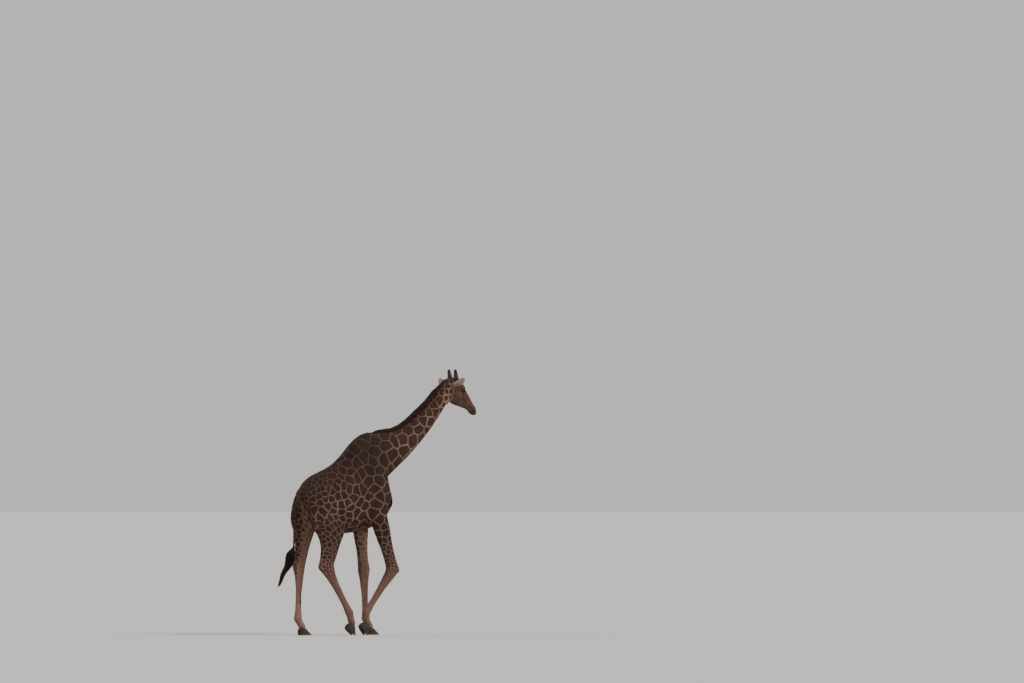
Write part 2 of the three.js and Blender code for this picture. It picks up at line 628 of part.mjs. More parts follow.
// Adds a solid as a named mesh, placed at the middle of its own box.
function show(group, name, whole, material) {
  const { numProp, vertProperties, triVerts } = biggest(whole).getMesh();
  const places = new Float32Array((vertProperties.length / numProp) * 3);
  for (let i = 0; i < places.length / 3; i++) {
    places.set(vertProperties.subarray(i * numProp, i * numProp + 3), i * 3);
  }
  const geometry = new THREE.BufferGeometry();
  geometry.setAttribute("position", new THREE.BufferAttribute(places, 3));
  geometry.setIndex(new THREE.BufferAttribute(triVerts, 1));
  geometry.computeBoundingBox();
  const middle = geometry.boundingBox.getCenter(new THREE.Vector3());
  geometry.translate(-middle.x, -middle.y, -middle.z);
  geometry.computeVertexNormals();
  const mesh = new THREE.Mesh(geometry, material);
  mesh.name = name;
  mesh.position.copy(middle);
  group.add(mesh);
}

const aboveFloor = (whole) => whole.trimByPlane(UP.toArray(), 0);

function addLeg(plan) {
  const group = groupOf(`leg_${plan.name}`);
  const joints = plan.joints.map((p) => at(...p));
  const hooves = [["inner", -plan.side], ["outer", plan.side]];
  let flesh = leg(plan);
  for (const [, toe] of hooves) flesh = flesh.subtract(hoof(plan, toe, GAP));
  const knee = legLine(joints, KNEE);
  const { ahead: lower, behind: upper } = part(flesh, knee.point, knee.run);
  show(group, `${plan.name}_upper`, upper, COAT);
  show(group, `${plan.name}_lower`, lower, PALE);
  for (const [which, toe] of hooves) {
    show(group, `${plan.name}_hoof_${which}`, aboveFloor(hoof(plan, toe)), HORN);
  }
}

// Trunk, neck and head are one flesh, parted by two planes: through the neck base and behind the skull.
function fleshPieces() {
  const whole = bodyLoft(TRUNK, RING_STEP.trunk).add(bodyLoft(NECK, RING_STEP.neck)).add(headWhole());
  const rootPoint = onMiddle(NECK_ROOT.belly);
  const rootUp = onMiddle(NECK_ROOT.back).sub(rootPoint);
  const rootNormal = new THREE.Vector3().crossVectors(rootUp, LEFT).normalize();
  if (rootNormal.y > 0) rootNormal.negate();
  const { ahead, behind: trunk } = part(whole, rootPoint, rootNormal);
  const { ahead: head, behind: neck } = part(ahead, onHead(SKULL_SEAT, 0, 0), headAhead.clone().setZ(0));
  return { trunk, neck, head };
}

const bodyGroup = groupOf("body");
const headGroup = groupOf("head_parts");
let { trunk, neck, head } = fleshPieces();
trunk = trunk.subtract(rope(TAIL, TAIL_SIDES, GAP)).subtract(mane(GAP));
for (const plan of LEGS) trunk = trunk.subtract(leg(plan, GAP));
neck = neck.subtract(mane(GAP));
head = head.subtract(mane(GAP));
for (const side of [1, -1]) {
  head = head.subtract(eye(side, GAP)).subtract(ossicone(side, GAP)).subtract(ear(side, GAP, true));
  neck = neck.subtract(ossicone(side, GAP)).subtract(ear(side, GAP, true));
}
show(bodyGroup, "trunk", trunk, COAT);
show(bodyGroup, "neck", neck, COAT);
show(bodyGroup, "mane", mane(), MANE_HAIR);
show(bodyGroup, "tail", rope(TAIL, TAIL_SIDES).subtract(rope(TUFT, TUFT_SIDES, GAP)), COAT);
show(bodyGroup, "tail_tuft", rope(TUFT, TUFT_SIDES), HAIR);
show(headGroup, "head", head, COAT);
for (const [word, side] of [["left", 1], ["right", -1]]) {
  show(headGroup, `eye_${word}`, eye(side), EYEBALL);
  show(headGroup, `ossicone_${word}`, ossicone(side), BONE);
  show(headGroup, `ear_${word}`, ear(side), PALE);
}
for (const plan of LEGS) addLeg(plan);

// The origin is on the floor, under the middle of the whole animal.
const box = new THREE.Box3().setFromObject(giraffe);
giraffe.position.set(-(box.min.x + box.max.x) / 2, -(box.min.y + box.max.y) / 2, -box.min.z);

export default giraffe;
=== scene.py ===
"""A life-size giraffe as a still museum model: one skin with its folds and bones, a coat of flat tufts over
it, mane, tail tuft, lashes, eyes, ossicones and hooves, each in place of the solid of its name.
The scene is in metres. Places on the animal are written [forward, left, up] in millimetres."""
import math

import bmesh
import bpy
import numpy as np
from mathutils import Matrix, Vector, noise
from mathutils.bvhtree import BVHTree
from mathutils.kdtree import KDTree


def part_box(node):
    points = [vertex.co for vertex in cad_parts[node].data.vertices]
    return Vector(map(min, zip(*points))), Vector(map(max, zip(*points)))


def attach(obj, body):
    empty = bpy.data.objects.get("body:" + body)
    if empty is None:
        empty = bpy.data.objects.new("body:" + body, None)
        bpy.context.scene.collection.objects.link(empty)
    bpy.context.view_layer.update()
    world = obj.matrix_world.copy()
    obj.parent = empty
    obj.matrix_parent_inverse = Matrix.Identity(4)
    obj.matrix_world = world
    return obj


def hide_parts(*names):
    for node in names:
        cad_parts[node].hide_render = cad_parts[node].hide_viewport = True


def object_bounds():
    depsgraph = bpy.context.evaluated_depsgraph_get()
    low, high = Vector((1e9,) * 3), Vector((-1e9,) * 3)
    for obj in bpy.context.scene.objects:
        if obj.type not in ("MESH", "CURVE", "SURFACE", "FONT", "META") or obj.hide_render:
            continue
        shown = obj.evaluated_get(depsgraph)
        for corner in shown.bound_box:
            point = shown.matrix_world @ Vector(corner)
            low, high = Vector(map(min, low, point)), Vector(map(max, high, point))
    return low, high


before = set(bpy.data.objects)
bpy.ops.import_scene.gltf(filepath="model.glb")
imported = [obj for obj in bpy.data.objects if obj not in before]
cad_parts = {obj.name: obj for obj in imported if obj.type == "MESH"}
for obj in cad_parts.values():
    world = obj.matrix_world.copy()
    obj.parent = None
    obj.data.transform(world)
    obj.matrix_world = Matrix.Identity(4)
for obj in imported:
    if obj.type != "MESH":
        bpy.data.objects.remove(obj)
cad_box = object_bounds()
scene = bpy.context.scene
rng = np.random.default_rng(11)
noise.seed_set(1795385638)  # left alone, it would start from the clock

# ---------------------------------------------------------------- the animal's measures, in millimetres
MM = 0.001
PITCH, YAW = math.radians(42), math.radians(10)  # of the head
HEAD_BACK = np.array([1927.1, 70.8, 3590.0])
AHEAD = np.array([math.cos(PITCH) * math.cos(YAW), math.cos(PITCH) * math.sin(YAW), -math.sin(PITCH)])
ACROSS = np.array([-math.sin(YAW), math.cos(YAW), 0.0])
ABOVE = np.array([math.sin(PITCH) * math.cos(YAW), math.sin(PITCH) * math.sin(YAW), math.cos(PITCH)])
EYE_SPOT, EYE_RADIUS = (163, 82, 32), 25  # along, to the side and up on the head
NECK_TURN = {"start": 800, "end": 1900, "degrees": 7}

# The line through the middle of trunk and neck: forward, up, half breadth, half depth, breadth of a patch.
BODY_LINE = [
    (-900, 2002, 80, 80, 66), (-566, 1935, 150, 200, 74), (-466, 1915, 236, 336, 86),
    (-350, 1910, 270, 396, 98), (-220, 1918, 292, 447, 112), (-88, 1945, 316, 494, 122),
    (65, 2007, 330, 562, 130), (207, 2092, 322, 625, 140), (340, 2175, 300, 650, 154),
    (480, 2275, 268, 620, 168), (640, 2410, 232, 540, 172), (800, 2540, 176, 400, 172),
    (950, 2655, 150, 300, 172), (1080, 2750, 132, 230, 172), (1225, 2860, 117, 190, 164),
    (1430, 3048, 100, 163, 146), (1616, 3237, 90, 140, 126), (1757, 3408, 84, 137, 106),
    (1864, 3502, 78, 145, 88), (1960, 3585, 80, 140, 72),
]
# Leg bones, joint by joint: fore, shoulder blade to coronet; hind, hip to coronet.
LEGS = {
    "fore_left": (1, [(455, 140, 2570), (485, 208, 1690), (546, 190, 925),
                      (566, 168, 232), (645, 166, 98)]),
    "fore_right": (-1, [(470, -140, 2570), (552, -208, 1690), (798, -196, 930),
                        (380, -172, 322), (384, -170, 144)]),
    "hind_left": (1, [(-452, 112, 2100), (-386, 190, 1570), (-512, 186, 975),
                      (-548, 166, 232), (-468, 164, 98)]),
    "hind_right": (-1, [(-420, -112, 2100), (-190, -196, 1560), (-290, -192, 980),
                        (108, -170, 318), (150, -168, 143)]),
}
# Mean radius down a leg, by joint count.
FORE_GIRTH = ([0, 0.6, 1, 1.45, 1.88, 2.12, 2.4, 2.9, 3.2, 4], [120, 162, 122, 86, 74, 70, 52, 52, 54, 56])
HIND_GIRTH = ([0, 0.5, 1, 1.3, 1.65, 2, 2.25, 2.6, 3, 4], [150, 190, 172, 128, 98, 90, 60, 46, 58, 56])
TAIL_LINE = [(-565, 0, 2085), (-622, 0, 2045), (-672, 0, 1930), (-692, 0, 1760), (-700, 0, 1580),
             (-706, 0, 1380), (-722, 0, 1225)]
# Forward and up along the crest of the neck.
CREST_LINE = [(505, 2874), (600, 2900), (690, 2910), (800, 2912), (905, 2920), (1020, 2958), (1160, 3040),
              (1350, 3190), (1550, 3360), (1700, 3532), (1800, 3632)]
# Down the crest: forward stations, and how tall the mane stands there.
MANE_HEIGHT = ([572, 620, 680, 834, 1140, 1628, 1750, 1812], [5, 14, 31, 56, 80, 84, 40, 15])
# Down the tail tuft: the line of its middle, and its radii.
TUFT_LINE = ([(-707, 0, 1312), (-714, 0, 1250), (-737, 0, 1203), (-762, 0, 1150), (-778, 0, 1080),
              (-796, 0, 1020), (-828, 0, 962), (-866, 0, 912), (-898, 0, 858), (-922, 0, 794),
              (-950, 0, 730), (-985, 0, 672)],
             [9, 15, 36, 62, 66, 56, 44, 37, 35, 30, 25, 10])
LEFT, UP = np.array([0.0, 1.0, 0.0]), np.array([0.0, 0.0, 1.0])
HEAD_LEVEL = np.array([math.cos(YAW), math.sin(YAW), 0.0])
EAR = {"root": (-26, 74, -38), "aim": (0.27, 0.87, 0.42), "open_out": 0.15, "open_down": 0.05, "length": 250}
HORN_LENGTH = 207
LEG_TOP = 2000  # nothing above is on a leg

# ---------------------------------------------------------------- frames


def middle_of(node):
    low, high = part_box(node)
    return (low + high) / 2


eyes_middle = (middle_of("eye_left") + middle_of("eye_right")) / 2
eyes_place = HEAD_BACK + EYE_SPOT[0] * AHEAD + EYE_SPOT[2] * ABOVE
SHIFT = np.array([eyes_middle.x / MM - eyes_place[1], eyes_middle.y / MM + eyes_place[0]])


def to_scene(places):
    places = np.atleast_2d(places)
    return np.stack([places[:, 1] + SHIFT[0], SHIFT[1] - places[:, 0], places[:, 2]], 1) * MM


def to_animal(points):
    points = np.atleast_2d(points) / MM
    return np.stack([SHIFT[1] - points[:, 1], points[:, 0] - SHIFT[0], points[:, 2]], 1)


def ways_to_scene(ways):
    return np.stack([ways[:, 1], -ways[:, 0], ways[:, 2]], 1)


def on_head(along, left, height):
    return HEAD_BACK + along * AHEAD + left * ACROSS + height * ABOVE


def eye_middle(side):
    along, out, height = EYE_SPOT
    return on_head(along, side * out, height)


def head_places(places):
    away = places - HEAD_BACK
    return np.stack([away @ AHEAD, away @ ACROSS, away @ ABOVE], 1)


def turned(forward):
    """Where the neck's middle plane has gone to at a forward station: forward, left and the way it faces."""
    full = math.radians(NECK_TURN["degrees"])
    bend = NECK_TURN["end"] - NECK_TURN["start"]
    past = np.maximum(0, forward - NECK_TURN["start"])
    in_bend = np.minimum(past, bend)
    angle = full * in_bend / bend
    radius = bend / full
    straight = past - in_bend
    ahead = np.minimum(forward, NECK_TURN["start"]) + radius * np.sin(angle) + straight * np.cos(angle)
    return ahead, radius * (1 - np.cos(angle)) + straight * np.sin(angle), angle


def on_middle(line):
    forward, up = np.array(line, float).T
    ahead, left, _ = turned(forward)
    return np.stack([ahead, left, up], 1)


def unit(ways):
    return ways / np.maximum(np.linalg.norm(ways, axis=-1, keepdims=True), 1e-9)


def fade(value, start, end):
    """0 before start, 1 after end, and smooth between; start may be the larger."""
    t = np.clip((value - start) / (end - start), 0, 1)
    return t * t * (3 - 2 * t)


def leftward(angle):
    """The way to the left of a level way that turns by an angle."""
    return np.stack([-np.sin(angle), np.cos(angle), 0 * angle], 1)


def upward(ways):
    """The ways made one long, and turned to point up."""
    ways = unit(ways)
    return ways * np.sign(ways[:, 2:3])


def mound(places, middle, radii):
    return np.exp(-(((places - np.array(middle)) / np.array(radii)) ** 2).sum(-1))


def mix(a, b, share):
    return a + (b - a) * share


class Line:
    """A smooth line through places, sampled finely, with what is read along it."""

    def __init__(self, points, blur, step=18.0):
        points = np.array(points, float)
        knots = np.r_[0, np.cumsum(np.linalg.norm(np.diff(points, axis=0), axis=1))]
        count = max(8, int(knots[-1] / step))
        fine = np.linspace(0, knots[-1], count)
        slopes = np.gradient(points, knots, axis=0)
        i = np.clip(np.searchsorted(knots, fine, side="right") - 1, 0, len(points) - 2)
        gap = (knots[i + 1] - knots[i])[:, None]
        t = ((fine - knots[i]) / gap[:, 0])[:, None]
        self.points = ((2 * t**3 - 3 * t**2 + 1) * points[i] + (t**3 - 2 * t**2 + t) * slopes[i] * gap
                       + (3 * t**2 - 2 * t**3) * points[i + 1] + (t**3 - t**2) * slopes[i + 1] * gap)
        self.length = np.r_[0, np.cumsum(np.linalg.norm(np.diff(self.points, axis=0), axis=1))]
        self.ways = unit(np.gradient(self.points, axis=0))
        self.knots = self.length[-1] * knots / knots[-1]
        self.joints = np.interp(fine, knots, np.arange(len(points)))
        self.blur = blur

    def nearest(self, places):
        """How far along the line each place is, smoothed where it is as near to two stretches."""
        found = np.empty(len(places))
        for i in range(0, len(places), 20000):
            away = ((places[i:i + 20000, None, :] - self.points[None]) ** 2).sum(-1)
            weight = np.exp((away.min(1, keepdims=True) - away) / self.blur**2)
            found[i:i + 20000] = (weight * self.length).sum(1) / weight.sum(1)
        return found

    def at(self, lengths):
        return np.stack([np.interp(lengths, self.length, self.points[:, k]) for k in range(3)], 1)

    def way(self, lengths):
        return unit(np.stack([np.interp(lengths, self.length, self.ways[:, k]) for k in range(3)], 1))

    def read(self, lengths, values):
        return np.interp(lengths, self.knots, values)

    def joint(self, lengths):
        return np.interp(lengths, self.length, self.joints)


def station(forward):
    """How far along the body's line a forward station is."""
    return np.interp(forward, [row[0] for row in BODY_LINE], body_line.knots)


body_line = Line(on_middle([(f, u) for f, u, *_ in BODY_LINE]), 70)
leg_lines = {name: Line(joints, 30) for name, (_, joints) in LEGS.items()}
tail_line = Line(TAIL_LINE, 20)
crest_line = Line(on_middle(CREST_LINE), 20)
LEG_GIRTH = {name: FORE_GIRTH if name.startswith("fore") else HIND_GIRTH for name in LEGS}

# ---------------------------------------------------------------- meshes


def read_all(items, key, width=1, kind=np.float32):
    """What `key` says of every item, as rows of `width` numbers."""
    found = np.empty(len(items) * width, kind)
    items.foreach_get(key, found)
    return found.reshape(-1, width) if width > 1 else found


def places_of(mesh):
    return read_all(mesh.vertices, "co", 3).astype(float)


def normals_of(mesh):
    return read_all(mesh.vertices, "normal", 3).astype(float)


def triangles_of(mesh):
    mesh.calc_loop_triangles()
    return read_all(mesh.loop_triangles, "vertices", 3, np.int32)


def areas_of(points, tris):
    a, b, c = (points[tris[:, k]] for k in range(3))
    return np.linalg.norm(np.cross(b - a, c - a), axis=1) / 2


def mesh_of(bm, name):
    mesh = bpy.data.meshes.new(name)
    bm.to_mesh(mesh)
    bm.free()
    return mesh


def put(name, data):
    obj = bpy.data.objects.new(name, data)
    scene.collection.objects.link(obj)
    return obj


def modified(mesh, kind, **settings):
    """The mesh as a modifier leaves it."""
    obj = put("worked", mesh)
    modifier = obj.modifiers.new("work", kind)
    for key, value in settings.items():
        setattr(modifier, key, value)
    made = bpy.data.meshes.new_from_object(obj.evaluated_get(bpy.context.evaluated_depsgraph_get()))
    bpy.data.objects.remove(obj)
    return made


def move_to(mesh, points):
    mesh.vertices.foreach_set("co", points.astype(np.float32).ravel())
    mesh.update()


def edges_of(mesh):
    return read_all(mesh.edges, "vertices", 2, np.int32)


def neighbours_mean(values, edges):
    a, b = edges.T
    count = np.bincount(a, minlength=len(values)) + np.bincount(b, minlength=len(values))
    total = np.empty_like(values)
    for k in range(values.shape[1]):
        total[:, k] = np.bincount(a, values[b, k], len(values)) + np.bincount(b, values[a, k], len(values))
    return total / np.maximum(count, 1)[:, None]


def relax(points, edges, weight, rounds):
    """Moves each point `weight` of the way to the middle of its neighbours, over and over."""
    for _ in range(rounds):
        points = points + weight[:, None] * (neighbours_mean(points, edges) - points)
    return points


def smoothed(points, edges, weight, rounds):
    """Evens out small flats, then gives back the larger shape that the smoothing drew in."""
    low = relax(points, edges, weight, rounds)
    return low + relax(points - low, edges, weight, rounds)


def closed_copy(node, swell=0.0006):
    """A merged copy of a solid, a little swollen so that it overlaps its neighbours."""
    bm = bmesh.new()
    bm.from_mesh(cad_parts[node].data)
    bmesh.ops.remove_doubles(bm, verts=bm.verts, dist=2e-5)
    return swollen(bm, swell)


def joined(parts):
    whole = bmesh.new()
    for part in parts:
        mesh = mesh_of(part, "part")
        whole.from_mesh(mesh)
        bpy.data.meshes.remove(mesh)
    return whole


def swollen(bm, swell):
    bm.normal_update()
    for vert in bm.verts:
        vert.co += vert.normal * swell
    return bm


def voxel_mesh(bm, size):
    """One closed mesh of even faces round everything in the bmesh."""
    return modified(mesh_of(bm, "flesh"), "REMESH", mode="VOXEL", voxel_size=size, adaptivity=0)


def biggest_piece(bm):
    """Keeps the piece with the most vertices, without the bubbles inside it."""
    seen, pieces = set(), []
    for start in bm.verts:
        if start.index in seen:
            continue
        piece, todo = [], [start]
        seen.add(start.index)
        while todo:
            vert = todo.pop()
            piece.append(vert)
            for edge in vert.link_edges:
                other = edge.other_vert(vert)
                if other.index not in seen:
                    seen.add(other.index)
                    todo.append(other)
        pieces.append(piece)
    pieces.sort(key=len)
    for piece in pieces[:-1]:
        bmesh.ops.delete(bm, geom=piece, context="VERTS")


def finished(name, mesh, nodes, material):
    """Puts a piece in the scene, on its body, in place of its solids."""
    mesh.name = name
    low, high = (np.array(corner) for corner in cad_box)
    move_to(mesh, np.clip(places_of(mesh), low + (2e-4, 2e-4, 0), high - 2e-4))
    obj = put(name, mesh)
    mesh.materials.clear()
    mesh.materials.append(material)
    mesh.polygons.foreach_set("use_smooth", np.full(len(mesh.polygons), True))
    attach(obj, "root")
    if nodes:
        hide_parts(*nodes)
    return obj


def store(mesh, name, values, domain="POINT"):
    values = np.asarray(values, np.float32)
    kind, key = ("FLOAT_VECTOR", "vector") if values.ndim == 2 else ("FLOAT", "value")
    mesh.attributes.new(name, kind, domain).data.foreach_set(key, values.ravel())


# ---------------------------------------------------------------- flesh
FLESH = ["trunk", "neck", "head", "tail"] + [f"{leg}_{part}" for leg in LEGS for part in ("upper", "lower")]
SKIN_STEP = 0.0140
HEAD_STEP = 0.0059
# On the side of the head, along and height.
MOUTH = [(604, -10), (575, -18), (530, -20), (480, -15), (440, -6)]
NOSTRIL = [(528, 30), (545, 33), (560, 27), (568, 18)]


def horn_frame(side):
    """Foot and way of an ossicone."""
    lean, splay = math.radians(52), math.radians(3)
    foot = on_head(28, side * 62, 44)
    way = ABOVE * math.cos(lean) - AHEAD * math.sin(lean)
    return foot, way * math.cos(splay) + ACROSS * side * math.sin(splay)


def cut_off(bm, place, way, side):
    """Takes away what lies on one side of a plane, given in places on the animal."""
    bmesh.ops.bisect_plane(bm, geom=bm.verts[:] + bm.edges[:] + bm.faces[:], plane_co=to_scene(place)[0],
                           plane_no=ways_to_scene(way[None])[0], **{side: True})


def horn_foot(side, word):
    """The low part of an ossicone, round which the skin of the head rises."""
    foot, way = horn_frame(side)
    bm = closed_copy(f"ossicone_{word}", 0.0)
    cut_off(bm, foot + way * 78, way, "clear_outer")
    bmesh.ops.holes_fill(bm, edges=[e for e in bm.edges if e.is_boundary], sides=0)
    return bm


def crest_filler():
    """The mane's solid pressed flat on the neck, which fills the groove it stood in."""
    flesh = joined([closed_copy(node, 0.0) for node in ("trunk", "neck", "head")])
    tree = BVHTree.FromBMesh(flesh)
    bm = closed_copy("mane", 0.0)
    for vert in bm.verts:
        place, _, _, away = tree.find_nearest(vert.co)
        if away > 0.003:
            vert.co = place
    flesh.free()
    return swollen(bm, 0.001)


def refined(bm, rounds, inside):
    """Finer faces where `inside` is true of both ends of an edge, given head places."""
    for _ in range(rounds):
        spots = head_places(to_animal(np.array([vert.co[:] for vert in bm.verts])))
        chosen = inside(spots)
        bm.verts.index_update()
        edges = [edge for edge in bm.edges if chosen[edge.verts[0].index] and chosen[edge.verts[1].index]]
        bmesh.ops.subdivide_edges(bm, edges=edges, cuts=1, use_grid_fill=True)


def by_the_eyes(spots):
    return np.linalg.norm(mirrored(spots) - EYE_SPOT, axis=1) < 38


def by_the_lips(spots):
    view = spots[:, [0, 2]]
    return (groove(view, MOUTH, 12) + groove(view, NOSTRIL, 12) > 0.35) & (spots[:, 0] > 400)


def swell_of(node):
    """How much a solid grows before it is remeshed: more where it is thin."""
    return 0.006 if node == "tail" else 0.003 if node.endswith("lower") else 0.0006


def stitched():
    """The body's even mesh, with a finer one for the head, joined round the upper neck."""
    coarse_parts = [closed_copy(node, swell_of(node)) for node in FLESH] + [crest_filler()]
    fine_nodes = ("neck", "head", "ear_left", "ear_right", "eye_left", "eye_right")
    fine_parts = [closed_copy(node) for node in fine_nodes]
    fine_parts += [crest_filler(), horn_foot(1, "left"), horn_foot(-1, "right")]
    low, high = on_middle([(1616, 3237), (1864, 3502)])
    way = unit(high - low)
    halves = []
    for parts, step, shift, side in ((coarse_parts, SKIN_STEP, -5, "clear_outer"),
                                     (fine_parts, HEAD_STEP, 2, "clear_inner")):
        half = bmesh.new()
        half.from_mesh(voxel_mesh(joined(parts), step))
        biggest_piece(half)
        cut_off(half, on_middle([(1735, 3382)])[0] + way * shift, way, side)
        halves.append(half)
    whole = joined(halves)
    bmesh.ops.bridge_loops(whole, edges=[edge for edge in whole.edges if edge.is_boundary])
    refined(whole, 1, by_the_lips)
    refined(whole, 2, by_the_eyes)
    bmesh.ops.recalc_face_normals(whole, faces=whole.faces)
    return mesh_of(whole, "skin")


# ---------------------------------------------------------------- where each point of the skin belongs


def ear_way(side):
    ahead, out, up = EAR["aim"]
    return unit(HEAD_LEVEL * ahead + ACROSS * side * out + UP * up)


class Places:
    """What the skin is at each point: head, ear, leg or tail, and how far along and round it."""

    def __init__(self, places):
        self.a = places
        self.h = head_places(places)
        self.along = body_line.nearest(places)
        middle = body_line.at(self.along)
        way = body_line.way(self.along)
        angle = turned(body_line.read(self.along, [f for f, *_ in BODY_LINE]))[2]
        left = leftward(angle)
        over = upward(np.cross(way, left))
        away = places - middle
        self.side = (away * left).sum(1)
        self.rise = (away * over).sum(1)
        half = body_line.read(self.along, [row[2] for row in BODY_LINE])
        deep = body_line.read(self.along, [row[3] for row in BODY_LINE])
        turn = self.turn = np.arctan2(np.abs(self.side) / half, self.rise / deep)
        self.round = (half + deep) / 2 * turn - (deep - half) / 4 * np.sin(2 * turn)
        self.sign = np.where(self.side >= 0, 1.0, -1.0)
        self.way, self.left, self.over = way, left, over
        self.find_legs()
        self.find_head()
        self.find_tail()

    def find_legs(self):
        count = len(self.a)
        starts = {"": 0, "_joint": 0, "_turn": 0, "_along": 0, "_girth": 1, "_which": -1}
        for key, start in starts.items():
            setattr(self, "leg" + key, np.full(count, float(start)))
        self.leg_way, self.leg_away = np.zeros((count, 3)), np.zeros((count, 3))
        for index, (name, (side, _)) in enumerate(LEGS.items()):
            near = np.where((self.a[:, 2] < LEG_TOP) & (self.a[:, 1] * side > -60))[0]
            line = leg_lines[name]
            length = line.nearest(self.a[near])
            joint = line.joint(length)
            girth = np.interp(joint, *LEG_GIRTH[name])
            away = self.a[near] - line.at(length)
            share = fade(np.linalg.norm(away, axis=1) / girth, 1.9, 1.35) * fade(self.a[near, 2], 1860, 1500)
            ways = line.way(length)
            out = unit(LEFT * side - ways * (ways[:, 1:2] * side))
            front = np.cross(ways, out)
            front *= np.sign(front[:, 0:1])
            ahead, outward = (away * front).sum(1), (away * out).sum(1)
            better = share > self.leg[near]
            rows = near[better]
            found = {"": share, "_joint": joint, "_way": ways, "_girth": girth, "_along": length,
                     "_away": np.stack([ahead, outward * side, 0 * ahead], 1),
                     "_turn": np.arctan2(ahead, outward), "_which": np.full(len(near), index)}
            for key, values in found.items():
                getattr(self, "leg" + key)[rows] = values[better]

    def find_head(self):
        _, left, height = self.h.T
        self.head = fade(self.a[:, 0], 1830, 1960) * fade(self.a[:, 2], 2900, 3000)
        self.head_turn = np.arctan2(np.abs(left), height + 30)
        for key in ("ear", "ear_along", "ear_open"):
            setattr(self, key, np.zeros(len(self.a)))
        along, side_way, height = EAR["root"]
        for side in (1, -1):
            aim = ear_way(side)
            away = self.a - on_head(along, side * side_way, height)
            length = away @ aim
            face = HEAD_LEVEL + ACROSS * side * EAR["open_out"] - UP * EAR["open_down"]
            face = unit(face - aim * (face @ aim))
            drop, depth = away @ np.cross(aim, face) * side, away @ face
            share = fade(length, 14, 42) * (np.abs(drop - 22) < 66) * (np.abs(depth + 13) < 34)
            share *= length < EAR["length"] + 16
            rows = share > self.ear
            for key, values in (("ear", share), ("ear_along", length), ("ear_open", depth)):
                setattr(self, key, np.where(rows, values, getattr(self, key)))

    def find_tail(self):
        length = tail_line.nearest(self.a)
        away = np.linalg.norm(self.a - tail_line.at(length), axis=1)
        self.tail = fade(away, 75, 50) * fade(self.a[:, 0], -560, -640) * (np.abs(self.a[:, 1]) < 70)
        self.tail = self.tail * fade(length, 20, 110)
        self.tail_along = length
        self.leg = self.leg * (1 - self.tail)


# ---------------------------------------------------------------- sculpting
# Seen from the side, on trunk and neck: how high a fold or muscle stands, where it is, and how broad.
BODY_FOLDS = [
    (9, [(500, 2720), (505, 2400), (540, 2060)], 42), (-7, [(395, 2640), (380, 2350), (370, 2080)], 55),
    (-6, [(610, 2620), (640, 2350), (672, 2120)], 45), (-9, [(300, 1980), (290, 1760), (340, 1560)], 45),
    (-6, [(-420, 2080), (-480, 1860), (-500, 1700)], 34),
]
BODY_MOUNDS = [(11, (640, 1960), (95, 95)), (12, (425, 1900), (140, 140)), (-13, (-185, 1960), (95, 150)),
               (12, (-322, 2190), (62, 62)), (7, (-395, 1850), (150, 150))]
# The same on the neck, by the turn from its crest.
NECK_FOLDS = [(-7, 2.05, 0.16), (-3.5, 0.75, 0.16), (4, 2.75, 0.25)]
# On the head, in its own frame: along, to the side and up.
HEAD_MOUNDS = [
    (-5, (82, 86, 56), (28, 30, 26)), (8, (204, 76, 27), (28, 30, 26)), (4, (186, 84, -4), (36, 30, 18)),
    (4.5, (149, 78, 70), (40, 26, 12)), (4, (119, 89, 38), (14, 26, 30)), (6, (118, 92, -70), (58, 40, 62)),
    (-4, (452, 0, 76), (40, 40, 30)), (5, (535, 30, 40), (30, 22, 24)), (4, (560, 0, -56), (34, 26, 18)),
]
FLANK_FOLDS = [
    (5, [(205, 8), (262, -8), (330, -16)], 13), (-6, [(215, -40), (290, -52), (360, -42)], 20),
    (-5, [(235, 62), (300, 52), (390, 34)], 15), (-3.5, [(204, 14), (232, -6), (254, -28)], 6),
]


def groove(flat, points, width):
    """1 on a line through points of a flat view, falling off over its width."""
    line = Line(np.c_[np.array(points, float), np.zeros(len(points))], width * 0.4, 6.0)
    nearest = np.empty(len(flat))
    for i in range(0, len(flat), 20000):
        away = ((flat[i:i + 20000, None] - line.points[None, :, :2]) ** 2).sum(-1)
        nearest[i:i + 20000] = away.min(1)
    return np.exp(-nearest / width**2)


def bell(value, middle, width):
    return np.exp(-((value - middle) / width) ** 2)


def wave(value, length):
    return np.sin(value / length * 2 * math.pi)


def body_relief(p):
    """How far muscles, bones and folds stand out from the skin of trunk and neck."""
    forward, _, up = p.a.T
    side, turn = np.abs(p.side), p.turn
    view = p.a[:, [0, 2]]
    out = sum(height * groove(view, points, width) for height, points, width in BODY_FOLDS)
    out += sum(height * mound(view, middle, radii) for height, middle, radii in BODY_MOUNDS)
    cage = fade(forward, -120, 0) * fade(forward, 330, 230) * fade(up, 1560, 1720) * fade(up, 2420, 2150)
    out += 2.6 * wave(forward + 0.28 * (up - 1800), 78) * cage
    out *= fade(side, 60, 140)
    out -= 8 * groove(view, [(-120, 1800), (-100, 1640), (-95, 1530)], 30) * fade(side, 100, 200)
    out += 4 * bell(side, 0, 22) * fade(turn, 0.5, 0.2) * fade(forward, 250, 100)
    out += 1.6 * wave(forward, 62) * bell(side, 0, 26) * fade(turn, 0.4, 0.15) * fade(forward, 300, 150)
    neck = fade(p.along, station(640), station(950))
    out += neck * sum(height * bell(turn, middle, width) for height, middle, width in NECK_FOLDS)
    out += 3.5 * neck * bell(turn, 1.35, 0.3) * (1 + 0.6 * wave(p.along, 178))
    throat = wave(forward * 0.5 + up * 0.86, 34) * mound(view, (800, 2215), (110, 120))
    out += 2.2 * throat * fade(turn, 1.9, 2.4) + 8 * mound(p.a, (860, 0, 1930), (110, 46, 190))
    return out * (1 - p.head) * (1 - p.leg * 0.6) * (1 - p.tail) * (1 - p.ear)


